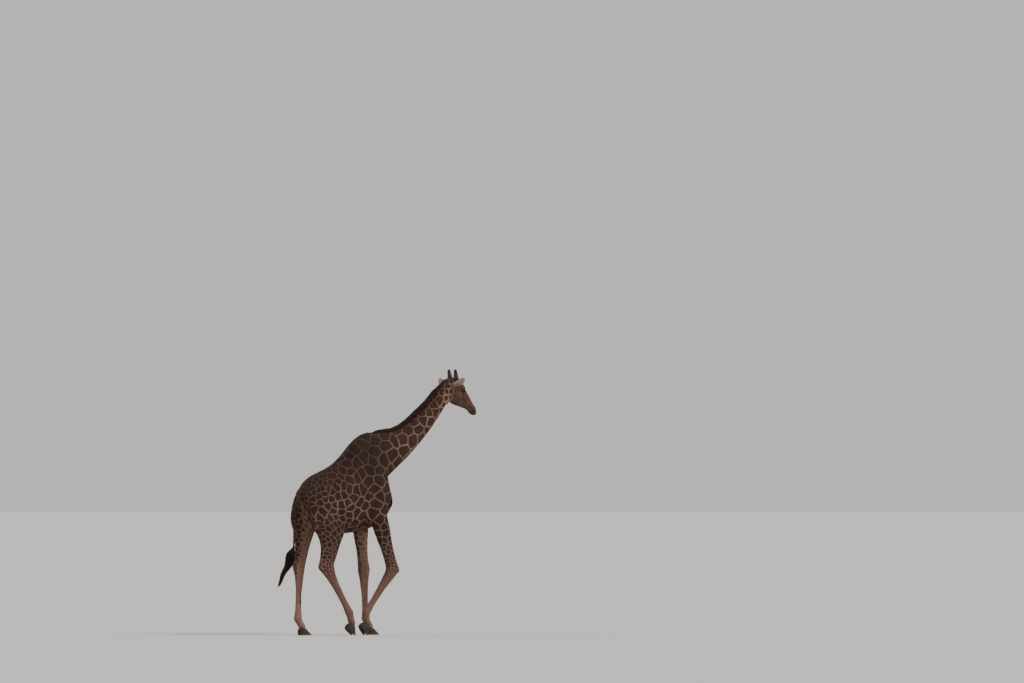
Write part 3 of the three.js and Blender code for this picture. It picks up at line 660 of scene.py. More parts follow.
def leg_relief(p):
    """Tendons, joints and the swell of the muscles down the legs."""
    joint, ahead = p.leg_joint, np.sin(p.leg_turn)
    fore = (p.leg_which < 2).astype(float)
    sideways = np.abs(np.cos(p.leg_turn))
    front, rear, furrow = bell(ahead, 1, 0.5), bell(ahead, -1, 0.5), bell(ahead, -0.38, 0.2)

    def at(middle, width):
        return bell(joint, middle, width)

    shank = 2 * rear * fade(joint, 2.2, 2.4) * fade(joint, 2.9, 2.7) + 3 * rear * at(3.03, 0.08)
    shank += 4.5 * sideways * at(2.98, 0.07) - 2.5 * front * at(3.45, 0.2)
    shank -= 4.2 * furrow * fade(joint, 2.16, 2.3) * fade(joint, 2.92, 2.75)
    knee = front * (5 * at(1.97, 0.07) - 3 * at(2.07, 0.025) + 6 * at(1.25, 0.2))
    knee += 4 * sideways * at(1.9, 0.05) + 3.5 * rear * at(2.03, 0.05)
    knee -= 5 * furrow * fade(joint, 1.2, 1.4) * fade(joint, 1.88, 1.7)
    hock = 5 * rear * at(1.97, 0.06) + sideways * (4 * at(2.03, 0.06) + 8 * at(1.15, 0.16))
    hock -= 10 * bell(ahead, -0.3, 0.26) * fade(joint, 1.35, 1.7) * fade(joint, 2.02, 1.92)
    return (shank + fore * knee + (1 - fore) * hock) * p.leg * fade(p.a[:, 2], 1600, 1400)


def mirrored(h):
    """Head places as if all were on the left."""
    return np.c_[h[:, 0], np.abs(h[:, 1]), h[:, 2]]


def head_relief(p):
    """Cheeks, jaw, muzzle, nostrils and mouth, in the head's own frame."""
    h = mirrored(p.h)
    along, side, up = h.T
    view = h[:, [0, 2]]
    out = sum(height * mound(h, middle, radii) for height, middle, radii in HEAD_MOUNDS)
    folds = sum(height * groove(view, points, width) for height, points, width in FLANK_FOLDS)
    out += folds * fade(side, 14, 30)
    out -= 5 * groove(view, [(44, -40), (60, -110), (110, -160)], 14) * fade(side, 40, 60)
    out += 5 * mound(h, (300, 0, 112), (90, 14, 30)) * fade(side, 30, 8)
    for height, rise, width, start in ((3.5, 13, 9, 430), (3.0, -13, 8, 450), (-8, 0, 5.0, 425)):
        lips = groove(view, [(x, z + rise) for x, z in MOUTH], width)
        out += height * lips * fade(along, start, start + (40 if rise else 30))
    out += 4 * groove(view, [(526, 34), (545, 40), (564, 32), (575, 18)], 9) * fade(side, 14, 22)
    out -= 13 * groove(view, NOSTRIL, 4.5) * fade(side, 16, 24)
    out -= 3 * bell(side, 0, 4) * fade(along, 570, 590) * fade(up, -12, 0)
    for radius, depth in ((43, 2.4), (52, 1.8), (61, 1.2)):
        ring = np.hypot((along - 153) / 1.25, up - 30)
        out -= depth * bell(ring, radius, 3.2) * fade(side, 45, 62) * fade(up, 60, 20)
    return out * p.head * (1 - p.ear)


def eye_frame(side):
    """Middle of an eyeball, and the ways it faces, forward along the lids and up across them."""
    gaze = unit(ACROSS * side + AHEAD * 0.22 - ABOVE * 0.1)
    fore = unit(AHEAD * 0.97 - ABOVE * 0.24)
    fore = unit(fore - gaze * (fore @ gaze))
    up = np.cross(fore, gaze) * side
    return eye_middle(side), gaze, fore, up if up @ ABOVE > 0 else -up


def lid_gap(x):
    """Half of the opening between the lids, in radii of the eye, at places along it."""
    return 0.50 * (1 - (np.abs(x) / 0.86) ** 2.2)


def socket(points):
    """Closes the skin over each eyeball as two lids with an almond opening between them."""
    for side in (1, -1):
        middle, gaze, fore, up = eye_frame(side)
        away = points - middle
        far = np.linalg.norm(away, axis=1)
        way = away / np.maximum(far, 1e-6)[:, None]
        x, y, z = way @ fore, way @ up, way @ gaze
        half = lid_gap(x)
        edge = np.abs(y + 0.05) - half
        closed = EYE_RADIUS + mix(2.6, 5.2, fade(edge, 0.0, 0.16)) + np.where(y > 0, 1.2, 0.0)
        open_ = EYE_RADIUS - 9
        target = np.where(half > 0, mix(open_, closed, fade(edge, -0.06, 0.03)), closed)
        lids = fade(far, 46, 31) * fade(z, 0.05, 0.35)
        points = np.where((lids > 0)[:, None], middle + way * mix(far, target, lids)[:, None], points)
    return points


def sculpted(mesh):
    """Smooths the flats out of the even mesh, brings the skin inside the coat and raises its relief."""
    edges = edges_of(mesh)
    p = Places(to_animal(places_of(mesh)))
    thin = np.maximum.reduce([p.leg * fade(p.a[:, 2], 1700, 1300), p.tail, p.ear])
    points = smoothed(places_of(mesh), edges, 0.5 * (1 - 0.85 * np.maximum(thin, p.head)), 64)
    points = smoothed(points, edges, 0.5 * np.maximum(p.head * (1 - 0.75 * p.ear), 0.3), 8)
    points = relax(points, edges, 0.5 * mound(p.a, (890, 0, 1960), (80, 150, 170)), 26)
    points = relax(points, edges, 0.5 * mound(mirrored(p.h), (52, 62, 72), (52, 40, 48)) * (1 - p.ear), 22)
    move_to(mesh, points)
    p = Places(to_animal(points))
    depth = mix(2.0, 0.6, p.head) + 1.5 * (1 - thin) * (1 - p.head)
    relief = body_relief(p) + leg_relief(p) + head_relief(p) - depth + 1.2 * p.ear
    points = points + normals_of(mesh) * (relief * MM)[:, None]
    points = relax(to_scene(socket(to_animal(points))), edges, 0.3 * (1 - p.head), 3)
    move_to(mesh, points)
    return mesh


# ---------------------------------------------------------------- markings
# Breadth of the patches down a leg, at heights above the ground.
LEG_HEIGHTS = [1860, 1700, 1500, 1300, 1100, 950, 800, 600, 300, 0]
LEG_PATCHES = {"fore": [150, 132, 104, 76, 55, 42, 36, 32, 28, 26],
               "hind": [104, 98, 84, 66, 54, 45, 38, 32, 28, 26]}
LEG_LEAN = 0.34  # by which the nets of a pair of legs lean away from each other, in radians


def passed(steps, sizes):
    """How many patches are passed on the way to each step."""
    return np.r_[0, np.cumsum(np.abs(np.diff(steps)) / ((sizes[1:] + sizes[:-1]) / 2))]


def net_of(p):
    """Each point's place in a straightened animal on which every patch is about one unit across."""
    body_sizes = np.array([row[4] for row in BODY_LINE], float)
    steps = body_line.length
    passed_body = passed(steps, np.interp(steps, body_line.knots, body_sizes))

    def straight(along, side, rise):
        size = np.interp(along, body_line.knots, body_sizes)
        return np.stack([np.interp(along, steps, passed_body), side / size, rise / size], -1)

    def beside(place):
        """The net's frame at a place: its own net place and the body's three ways there."""
        q = Places(place[None])
        return straight(q.along, q.side, q.rise)[0], np.stack([q.way[0], q.left[0], q.over[0]])

    net = straight(p.along, p.side, p.rise)
    for index, name in enumerate(LEGS):
        rows = np.where((p.leg_which == index) & (p.leg > 0))[0]
        line = leg_lines[name]
        top = np.interp(LEG_HEIGHTS[:1], line.points[::-1, 2], line.length[::-1])
        top_net, ways = beside(line.at(top)[0])
        line_sizes = np.interp(-line.points[:, 2], -np.array(LEG_HEIGHTS), LEG_PATCHES[name[:4]])
        fallen = np.interp(np.r_[top, p.leg_along[rows]], line.length, passed(line.length, line_sizes))
        size = np.interp(p.leg_along[rows], line.length, line_sizes)[:, None]
        away = p.leg_away[rows] / size - UP * (fallen[1:] - fallen[0])[:, None]
        lean = LEG_LEAN * LEGS[name][0]
        cos, sin = math.cos(lean), math.sin(lean)
        away = away @ np.array([[1, 0, 0], [0, cos, sin], [0, -sin, cos]])
        net[rows] = mix(net[rows], top_net + away @ ways.T, p.leg[rows, None])
    nape = on_middle([(1864, 3502)])[0]
    nape_net, ways = beside(nape)
    away = (p.a - nape) / mix(72.0, 46.0, fade(p.h[:, 0], 0, 260))[:, None]
    return 0.88 * mix(net, nape_net + away @ ways.T, p.head[:, None])


def wandering(net):
    """The net with its threads bent a little."""
    bends = np.array([noise.noise_vector(place) for place in (net * 1.2).tolist()])
    return net + 0.16 * bends


def patch_middles(net, gap=0.70):
    """Places on the net that are nowhere nearer to each other than a small patch."""
    net = net[np.argsort(net[:, 0])]
    free = np.ones(len(net), bool)
    middles = []
    for row in rng.permutation(len(net)):
        if free[row]:
            place = net[row]
            middles.append(place)
            low, high = np.searchsorted(net[:, 0], (place[0] - gap, place[0] + gap))
            free[low:high] &= ((net[low:high] - place) ** 2).sum(1) > gap**2
    return np.array(middles)


def nearest_middles(middles, places):
    """The four patches round each place, nearest first."""
    tree = KDTree(len(middles))
    for index, middle in enumerate(middles):
        tree.insert(middle, index)
    tree.balance()
    rows = [[hit[1] for hit in tree.find_n(place, 4)] for place in places.tolist()]
    return middles[np.array(rows)]


def tints_of(p):
    """Line width in patches, paleness of the lines, lightness of the patches, and a darkening: darker
    shoulder, muzzle, crown and ear tips, with painted shade round the eyes and on the ears' open sides.
    """
    up, turn = p.a[:, 2], p.turn
    view = p.a[:, [0, 2]]
    neck = fade(p.along, station(640), station(1080))
    shoulder = mound(view, (470, 2450), (330, 420))
    low = fade(turn, 0.9, 2.0)
    gap = 0.052 - 0.010 * shoulder + 0.008 * low
    pale = mix(0.22, 0.62, fade(turn, 0.5, 1.7)) - 0.22 * shoulder
    pale = mix(pale, mix(0.30, 0.85, fade(turn, 0.4, 1.6)), neck)
    pale = pale + 0.22 * mound(view, (-60, 1800), (300, 260))
    patch = 0.08 + 0.1 * low + 0.12 * neck
    darkening_and_painted_shade = 1 - 0.15 * shoulder
    belly = fade(turn, 2.55, 2.95) * (1 - neck) * (1 - p.leg)
    inner = p.leg * fade(np.abs(p.leg_turn), 1.9, 2.5)
    down_leg = (np.interp(up, [500, 800, 950, 1150, 1400, 1600], [0.24, 0.18, 0.12, 0.088, 0.07, 0.056]),
                np.interp(up, [200, 700, 950, 1300, 1600], [0.62, 0.58, 0.52, 0.55, 0.62]),
                np.interp(up, [200, 600, 850, 1000, 1300], [0.62, 0.5, 0.3, 0.18, 0.1]))
    h = mirrored(p.h)
    behind = mound(h, (-10, 80, -70), (70, 60, 60)) + mound(view, (1830, 3330), (90, 110))
    tints = [gap, pale, patch]

    def turned_to(share, values):
        tints[:] = [mix(tint, value, share) for tint, value in zip(tints, values)]

    turned_to(belly, (0.3, 0.5, 0.4))
    turned_to(p.leg, down_leg)
    turned_to(inner, (0.3, 0.9, 0.62))
    turned_to(p.head, (0.22, 0.20, 0.2))
    tints[0] = tints[0] + 0.12 * behind
    tints[1] = tints[1] + 0.45 * behind
    turned_to(p.ear, (2.0, 0.95, 0.8))
    turned_to(p.tail, (0.1, 0.2, 0.12))
    crown = fade(h[:, 2], 60, 115) * fade(h[:, 0], 110, 260) * fade(h[:, 1], 50, 25)
    for share, dark in ((p.head * fade(h[:, 0], 470, 570), 0.52), (p.head * crown, 0.45),
                        # painted shade round each eye, as cast by the brow
                        (p.head * mound(h, (161, 86, 34), (52, 40, 30)), 0.6),
                        # darker ear tips; the ear's open side is darkened by painted shade in its hollow
                        (p.ear * fade(p.ear_along, 208, 248), 0.6), (p.ear * fade(p.ear_open, -6, 6), 0.35)):
        darkening_and_painted_shade = darkening_and_painted_shade * (1 - dark * share)
    return tints[0], *(np.clip(value, 0, 1) for value in (*tints[1:], darkening_and_painted_shade))


def hair_of(p):
    """Which way the hair lies and how long it is, in millimetres."""
    lie = -p.way - UP * 0.35
    ear_ways = np.where(p.h[:, 1:2] > 0, ear_way(1), ear_way(-1))
    for way, share in ((p.leg_way, p.leg), (-AHEAD, p.head), (tail_line.way(p.tail_along), p.tail),
                       (ear_ways, p.ear)):
        lie = mix(lie, way, share[:, None])
    length = 13 + 5 * fade(p.turn, 2.4, 2.9) + 6 * mound(p.a, (860, 0, 1950), (160, 120, 260))
    length = mix(length, np.interp(p.leg_joint, [1, 2, 3, 3.85, 4], [12, 9, 8, 8, 15]), p.leg)
    length = mix(length, np.interp(p.h[:, 0], [0, 200, 450, 600], [12, 9, 7.5, 5.5]), p.head)
    length = mix(length, 5.5, p.head * mound(np.abs(p.h), EYE_SPOT, (60, 60, 60)))
    return lie, mix(mix(length, 7, p.ear), 12, p.tail)


# ---------------------------------------------------------------- tufts


def lock_mesh(name, path, across, over, widths, thinning, corner, extra=None):
    """One mesh of closed three-sided locks. A lock's rings stand on its path, `widths` broad and thinned from
    ring to ring; `corner` is how far the sides lie under the path and the ridge over it, in breadths."""
    count, rings = len(path), path.shape[1] - 1
    size = rings * 3 + 1
    t = np.arange(rings) / rings
    under, ridge = corner
    wide = (widths[:, None] * thinning(t))[:, :, None, None]
    x, y = np.array([(-0.5, under), (0.5, under), (0.0, ridge)]).T[..., None]
    around = path[:, :-1, None] + across[:, :, None] * (wide * x) + over[:, :, None] * (wide * y)
    points = np.concatenate([around.reshape(count, -1, 3), path[:, -1:]], 1)
    faces = []
    for ring in range(rings - 1):
        for k in range(3):
            a, b = ring * 3 + k, ring * 3 + (k + 1) % 3
            faces += [(a, b, b + 3), (a, b + 3, a + 3)]
    last = (rings - 1) * 3
    faces += [(last + k, last + (k + 1) % 3, rings * 3) for k in range(3)]
    faces = np.array([*faces, (0, 2, 1)])
    corners = (faces[None] + (np.arange(count) * size)[:, None, None]).reshape(-1, 3)
    mesh = bpy.data.meshes.new(name)
    mesh.vertices.add(count * size)
    mesh.vertices.foreach_set("co", points.astype(np.float32).ravel())
    mesh.loops.add(len(corners) * 3)
    mesh.loops.foreach_set("vertex_index", corners.astype(np.int32).ravel())
    mesh.polygons.add(len(corners))
    mesh.polygons.foreach_set("loop_start", np.arange(len(corners), dtype=np.int32) * 3)
    mesh.update(calc_edges=True)
    share = np.tile(np.r_[np.repeat(t, 3), 1], count)
    store(mesh, "strand", np.stack([np.repeat(rng.random(count), size), share, 0 * share], 1))
    for key, values in (extra or {}).items():
        store(mesh, key, np.repeat(values, size, axis=0))
    return mesh, size, faces


def tuft_mesh(name, roots, ways, sides, lengths, widths, bows, bends, rings=2, extra=None):
    """Locks that go from their roots along `ways`, bowing to `bows` by `bends`, a share of their length."""
    t = np.arange(rings + 1) / rings
    path = roots[:, None] + ways[:, None] * (lengths[:, None] * t)[..., None]
    path = path + bows[:, None] * ((lengths * bends)[:, None] * t * t)[..., None]
    across = unit(sides)
    over = unit(np.cross(across, ways))
    return lock_mesh(name, path, across[:, None], over[:, None], widths, lambda t: 1 - 0.75 * t**1.5,
                     (-0.12, 0.26), extra)


def give_map(mesh, size, faces, roots_uv, span=0.003):
    """A small patch on the map for each lock, at its root's place."""
    rings = (size - 1) // 3
    local = np.zeros((size, 2))
    for ring in range(rings):
        for k, (x, y) in enumerate(((-0.5, 0), (0.5, 0), (0.0, 0.12))):
            local[ring * 3 + k] = (x * (1 - 0.4 * ring / rings), ring / rings - 0.5 + y)
    local[-1] = (0.0, 0.5)
    patch = local[faces.ravel()] * span
    uv = roots_uv[:, None, :] + patch[None]
    layer = mesh.uv_layers.new(name="OFBake")
    layer.data.foreach_set("uv", uv.astype(np.float32).ravel())


def charts(groups, margin=0.01):
    """Lays flat pieces of skin side by side in the unit square: groups are (rows, along, round) in mm."""
    spans = [(along.min(), np.ptp(along) + 1, turn.min(), np.ptp(turn) + 1) for _, along, turn in groups]
    widest = max(wide for _, wide, _, _ in spans)
    total = sum(tall for *_, tall in spans)
    columns = max(1, int(round(math.sqrt(total / widest))))
    heights = [0.0] * columns
    spots = []
    for *_, tall in spans:
        column = heights.index(min(heights))
        spots.append((column, heights[column]))
        heights[column] += tall
    scale = (1 - margin * 2) / max(widest * columns, max(heights))
    return [(spot[0] * widest - span[0], spot[1] - span[2], scale) for span, spot in zip(spans, spots)]


def drawn(weight, count):
    """Faces drawn by weight, and a place on each as shares of its corners."""
    chosen = np.searchsorted(np.cumsum(weight) / weight.sum(), rng.random(count))
    share = rng.dirichlet((1, 1, 1), count)
    return np.minimum(chosen, len(weight) - 1), share


class Hide:
    """The finished skin as arrays, from which roots are drawn."""

    def __init__(self, mesh):
        self.tris = triangles_of(mesh)
        self.points = places_of(mesh)
        self.normals = normals_of(mesh)
        p = self.p = Places(to_animal(self.points))
        self.net = wandering(net_of(p))
        corners = read_all(mesh.loops, "vertex_index", kind=np.int32)
        starts = read_all(mesh.polygons, "loop_start", kind=np.int32)
        totals = np.diff(np.r_[starts, len(corners)])
        middles = np.add.reduceat(self.net[corners], starts) / totals[:, None]
        self.patches = nearest_middles(patch_middles(self.net), middles)
        self.face = read_all(mesh.loop_triangles, "polygon_index", kind=np.int32)
        self.tints = tints_of(p)
        lie, self.length = hair_of(p)
        lie = unit(ways_to_scene(lie))
        lie = lie - self.normals * (lie * self.normals).sum(1, keepdims=True)
        self.lie = unit(neighbours_mean(unit(lie), edges_of(mesh)))
        self.area = areas_of(self.points, self.tris)

    def chart_of(self, rows):
        """Flat coordinates of a point of the skin, and which flat piece it is on."""
        p = self.p
        piece, along, round_ = np.zeros(len(rows), int), p.along, p.sign * p.round
        along, round_ = along[rows], round_[rows]
        ear_piece = np.where(p.h[:, 1] > 0, 6, 7) + np.where(p.ear_open > 0, 2, 0)
        for share, number, part_along, part_round in (
                (p.leg, 1 + p.leg_which, p.leg_along, p.leg_girth * p.leg_turn),
                (p.head, 5, p.h[:, 0], p.sign * 100 * p.head_turn),
                (p.ear, ear_piece, p.ear_along, p.a[:, 2]),
                (p.tail, 10, p.tail_along, p.a[:, 1])):
            here = share[rows] > 0.5
            number = np.broadcast_to(number, share.shape)
            piece, along, round_ = (np.where(here, values[rows], old) for values, old in
                                    ((number, piece), (part_along, along), (part_round, round_)))
        return piece, along, round_

    def roots(self, count, liking):
        """Draws roots, more where `liking` of the vertices is larger."""
        chosen, share = drawn(self.area * liking[self.tris].mean(1), count)
        return self.tris[chosen], share, self.patches[self.face[chosen]]

    def blend(self, values, rows, share):
        return (values[rows] * share[..., None]).sum(1) if values.ndim == 2 else (values[rows] * share).sum(1)

    def coat(self, name, count, liking, material, slot, thick, lift, stretch):
        """Lays tufts over the skin; `lift` is the mean and the spread of how they rise, in degrees."""
        rows, share, patches = self.roots(count, liking)
        roots = self.blend(self.points, rows, share)
        normals = unit(self.blend(self.normals, rows, share))
        lie = self.blend(self.lie, rows, share)
        lie = unit(lie - normals * (lie * normals).sum(1, keepdims=True))
        side = np.cross(normals, lie)
        swing = rng.normal(0, 0.2, count)[:, None]
        lie = unit(lie * np.cos(swing) + side * np.sin(swing))
        rise = np.radians(rng.normal(lift[0], lift[1] * 0.5, count).clip(3, 60))[:, None]
        ways = lie * np.cos(rise) + normals * np.sin(rise)
        lengths = self.blend(self.length, rows, share) * rng.uniform(0.75, 1.25, count) * MM * stretch
        widths = lengths * rng.uniform(0.30, 0.42, count) * thick
        near = rows[np.arange(count), share.argmax(1)]
        net = self.blend(self.net, rows, share)
        gap, pale, patch, darkening_and_painted_shade = (self.blend(t, rows, share) for t in self.tints)
        mesh, size, faces = tuft_mesh(
            name, roots - normals * 0.0004, ways, np.cross(normals, ways), lengths, widths, -normals,
            np.sin(rise[:, 0]) * 0.3, 1,
            {"net": net, "tint": np.c_[pale, patch, darkening_and_painted_shade], "line_width": gap,
             **{f"patch_{k}": patches[:, k] for k in range(4)}})
        piece, along, round_ = self.chart_of(near)
        groups = [(np.where(piece == k)[0], along[piece == k], round_[piece == k]) for k in np.unique(piece)]
        uv = np.zeros((count, 2))
        for (members, x, y), (shift_x, shift_y, scale) in zip(groups, charts(groups)):
            uv[members] = np.c_[(x + shift_x) * scale, (y + shift_y) * scale] + 0.01
        uv += rng.uniform(-0.0012, 0.0012, (count, 2))
        give_map(mesh, size, faces, uv)
        return finished(name, mesh, [], material)


# ---------------------------------------------------------------- finishes


class Tone:
    """One value of a material. Sums on it add the nodes that work them out."""

    def __init__(self, tree, socket=None):
        self.tree, self.socket = tree, socket

    def add(self, kind, settings=None, inputs=None, output=0):
        node = self.tree.nodes.new(kind)
        for key, value in (settings or {}).items():
            setattr(node, key, value)
        for key, value in (inputs or {}).items():
            if isinstance(value, Tone):
                self.tree.links.new(value.socket, node.inputs[key])
            else:
                node.inputs[key].default_value = value
        return Tone(self.tree, node.outputs[output])

    def maths(self, operation, *values, clamp=False):
        settings = {"operation": operation, "use_clamp": clamp}
        return self.add("ShaderNodeMath", settings, dict(enumerate(values)))

    def __add__(self, other):
        return self.maths("ADD", self, other)

    def __radd__(self, other):
        return self.maths("ADD", other, self)

    def __sub__(self, other):
        return self.maths("SUBTRACT", self, other)

    def __rsub__(self, other):
        return self.maths("SUBTRACT", other, self)

    def __mul__(self, other):
        return self.maths("MULTIPLY", self, other)

    def __rmul__(self, other):
        return self.maths("MULTIPLY", other, self)

    def __truediv__(self, other):
        return self.maths("DIVIDE", self, other)

    def step(self, start, end):
        """0 before start and 1 after end, smooth between."""
        return self.add("ShaderNodeMapRange", {"interpolation_type": "SMOOTHSTEP"},
                        {0: self, 1: start, 2: end, 3: 0.0, 4: 1.0})

    def between(self, first, second, factor):
        """A colour on the way from first to second."""
        first, second = (c if isinstance(c, Tone) else (*c, 1) for c in (first, second))
        return self.add("ShaderNodeMix", {"data_type": "RGBA"}, {0: factor, 6: first, 7: second}, 2)

    def scaled(self, colour, factor):
        """A colour times a value."""
        return self.add("ShaderNodeVectorMath", {"operation": "SCALE"}, {0: colour, 3: factor})

    def parts(self, vector):
        node = self.tree.nodes.new("ShaderNodeSeparateXYZ")
        self.tree.links.new(vector.socket, node.inputs[0])
        return [Tone(self.tree, out) for out in node.outputs]

    def attribute(self, name, output=1):
        return self.add("ShaderNodeAttribute", {"attribute_name": name}, output=output)

    def apart(self, first, second):
        """How far two places are from each other."""
        return self.add("ShaderNodeVectorMath", {"operation": "DISTANCE"}, {0: first, 1: second}, 1)

    def cracks(self, place):
        """How far a place is from the borders of a random net of cells."""
        return self.add("ShaderNodeTexVoronoi", {"feature": "DISTANCE_TO_EDGE"},
                        {"Vector": place, "Scale": 2.3, "Randomness": 0.88})

    def combed(self, place, stretch, rough):
        """Noise drawn out by unlike scales along the axes."""
        return self.noise(self.add("ShaderNodeMapping", {}, {0: place, 3: stretch}), 1.0, *rough)

    def bump(self, strength, height):
        return self.add("ShaderNodeBump", {}, {"Strength": strength, "Distance": 1.0, "Height": height})

    def object_place(self):
        return self.add("ShaderNodeTexCoord", output=3)

    def noise(self, place, scale, detail=3.0, rough=0.55):
        return self.add("ShaderNodeTexNoise", {},
                        {"Vector": place, "Scale": scale, "Detail": detail, "Roughness": rough})


def new_finish(name, **fixed):
    """A material with one Principled shader, and the start of its node sums."""
    material = bpy.data.materials.new(name)
    material.use_nodes = True
    tree = material.node_tree
    shader = tree.nodes["Principled BSDF"]
    for key, value in fixed.items():
        shader.inputs[key.replace("_", " ").replace("Ior", "IOR")].default_value = value
    return material, Tone(tree), shader


def feed(shader, name, tone):
    tone.tree.links.new(tone.socket, shader.inputs[name])


PATCH_DARK, PATCH_LIGHT = (0.024, 0.0098, 0.0066), (0.132, 0.062, 0.040)
EAR_PALE = (0.275, 0.225, 0.212)
LINE_DULL, LINE_PALE = (0.062, 0.027, 0.017), (0.30, 0.178, 0.128)


def inside_patch(start, net):
    """How far inside its patch a place of the net is, from the middles of the four patches round it."""
    middles = [start.attribute(f"patch_{k}") for k in range(4)]
    squares = [far * far for far in [start.apart(net, middle) for middle in middles]]
    inside = [None] * 4
    for k in range(4):
        for other in range(k + 1, 4):
            border = (squares[other] - squares[k]) / (start.apart(middles[k], middles[other]) * 2.0)
            for index, depth in ((k, border), (other, 0 - border)):
                known = inside[index]
                inside[index] = depth if known is None else start.maths("MINIMUM", known, depth)
    deepest = inside[0]
    for depth in inside[1:]:
        deepest = start.maths("MAXIMUM", deepest, depth)
    return deepest


def coat_colour(start):
    """The markings of skin and tufts alike: dark patches in a net of paler lines."""
    net = start.attribute("net")
    gap = start.attribute("line_width", 2)
    pale, patch, darkening_and_painted_shade = start.parts(start.attribute("tint"))
    edge = inside_patch(start, net)
    cell_tone = start.noise(net, 0.9, 1.0, 0.5)
    ragged = start.noise(net, 9.0, 3.0, 0.6)
    width = gap * (0.72 + 0.56 * ragged)
    line = 1 - edge.step(width * 0.72, width * 1.28)
    crack = (1 - start.cracks(net).step(0.02, 0.07)) * edge.step(0.08, 0.2)
    mottle = start.noise(start.object_place(), 14.0, 4.0, 0.6)
    patch_share = patch + 0.3 * (cell_tone - 0.5) + 0.22 * (mottle - 0.5) + crack * 0.10
    patch_colour = start.between(PATCH_DARK, PATCH_LIGHT, start.maths("ADD", patch_share, 0.0, clamp=True))
    line_share = start.maths("ADD", pale + 0.5 * (mottle - 0.5), 0.0, clamp=True)
    line_colour = start.between(LINE_DULL, LINE_PALE, line_share)
    colour = start.between(patch_colour, line_colour, line)
    colour = start.between(colour, EAR_PALE, gap.step(0.6, 1.7) * 0.8)
    # the darkening holds painted shade round the eyes and on the ears' open sides
    return start.scaled(colour, darkening_and_painted_shade), line, mottle


def skin_finish():
    material, start, shader = new_finish("hide", Specular_Ior_Level=0.2, Sheen_Weight=0.04,
                                         Sheen_Roughness=0.5)
    colour, line, mottle = coat_colour(start)
    place = start.object_place()
    grain = start.noise(place, 320.0, 4.0, 0.7)
    feed(shader, "Base Color", start.scaled(colour, 0.80 + 0.4 * grain))
    feed(shader, "Roughness", 0.60 + 0.2 * mottle)
    locks = start.combed(place, (230.0, 160.0, 55.0), (4.0, 0.65))
    folds = start.noise(place, 26.0, 3.0, 0.5)
    feed(shader, "Normal", start.bump(0.75, locks * 0.0042 + folds * 0.003 + line * 0.0006))
    return material


def coat_finish():
    material, start, shader = new_finish("coat_tufts", Specular_Ior_Level=0.16, Sheen_Weight=0.02)
    colour, _, _ = coat_colour(start)
    random, share, _ = start.parts(start.attribute("strand"))
    feed(shader, "Base Color", start.scaled(colour, 0.70 + 0.45 * random + share * 0.2))
    feed(shader, "Roughness", 0.62 + 0.25 * random)
    return material


def hair_finish(name, root, tip, rough=0.5):
    """Long hair that changes from root to tip and from lock to lock."""
    material, start, shader = new_finish(name, Specular_Ior_Level=0.2)
    random, share, _ = start.parts(start.attribute("strand"))
    mottle = start.noise(start.object_place(), 18.0, 3.0, 0.6)
    change = start.maths("ADD", share.step(0.35, 1.0), 0.5 * (mottle - 0.5), clamp=True)
    colour = start.between(root, tip, change)
    feed(shader, "Base Color", start.scaled(colour, 0.6 + 0.8 * random))
    feed(shader, "Roughness", rough + 0.2 * random)
    return material


def horn_finish():
    material, start, shader = new_finish("ossicone_hair", Specular_Ior_Level=0.3, Sheen_Weight=0.12)
    place = start.object_place()
    up = start.parts(start.attribute("rise"))[0]
    grain = start.noise(place, 260.0, 4.0, 0.7)
    mottle = start.noise(place, 40.0, 3.0, 0.6)
    change = (up + 0.2 * (mottle - 0.5)).step(0.55, 0.9)
    colour = start.between((0.075, 0.030, 0.019), (0.020, 0.013, 0.011), change)
    feed(shader, "Base Color", start.scaled(colour, 0.7 + 0.6 * grain))
    feed(shader, "Roughness", 0.62 + 0.2 * mottle)
    feed(shader, "Normal", start.bump(0.8, start.combed(place, (260.0, 260.0, 60.0), (4.0, 0.6)) * 0.002))
    return material


def hoof_finish():
    """Dark horn with growth rings round it, worn pale at the ground and scratched down the wall."""
    material, start, shader = new_finish("hoof_horn", Specular_Ior_Level=0.22)
    place = start.object_place()
    up = start.parts(start.attribute("growth"))[0]
    mottle = start.noise(place, 30.0, 4.0, 0.6)
    rings = start.maths("SINE", up * 75.0 + mottle * 6.0)
    worn = 1 - (up + 0.15 * (mottle - 0.5)).step(0.04, 0.3)
    worn_share = start.maths("ADD", worn * 0.75, 0.4 * (mottle - 0.4), clamp=True)
    feed(shader, "Base Color", start.between((0.030, 0.021, 0.016), (0.120, 0.090, 0.066), worn_share))
    feed(shader, "Roughness", 0.42 + 0.3 * mottle + worn * 0.15)
    scratches = start.combed(place, (420.0, 420.0, 40.0), (3.0, 0.6))
    feed(shader, "Normal", start.bump(0.7, rings * 0.00016 + scratches * 0.0009))
    return material


def eye_finish():
    """A wet dark brown eye with a level pupil and a fine-rayed iris."""
    material, start, shader = new_finish("eyeball", Roughness=0.06, Specular_Ior_Level=0.14, Coat_Weight=0.1,
                                         Coat_Roughness=0.03)
    x, y, _ = start.parts(start.attribute("gaze"))
    off = start.maths("SQRT", x * x + y * y)
    pupil = start.maths("SQRT", x * x * 1.1 + y * y * 5.0)
    rays = start.noise(start.attribute("gaze"), 9.0, 4.0, 0.7)
    iris = start.between((0.060, 0.024, 0.010), (0.016, 0.007, 0.004), rays.step(0.3, 0.7))
    white = start.between(iris, (0.045, 0.026, 0.020), off.step(0.60, 0.70))
    feed(shader, "Base Color", start.between((0.0025, 0.002, 0.002), white, pupil.step(0.36, 0.42)))
    return material


# ---------------------------------------------------------------- the other pieces


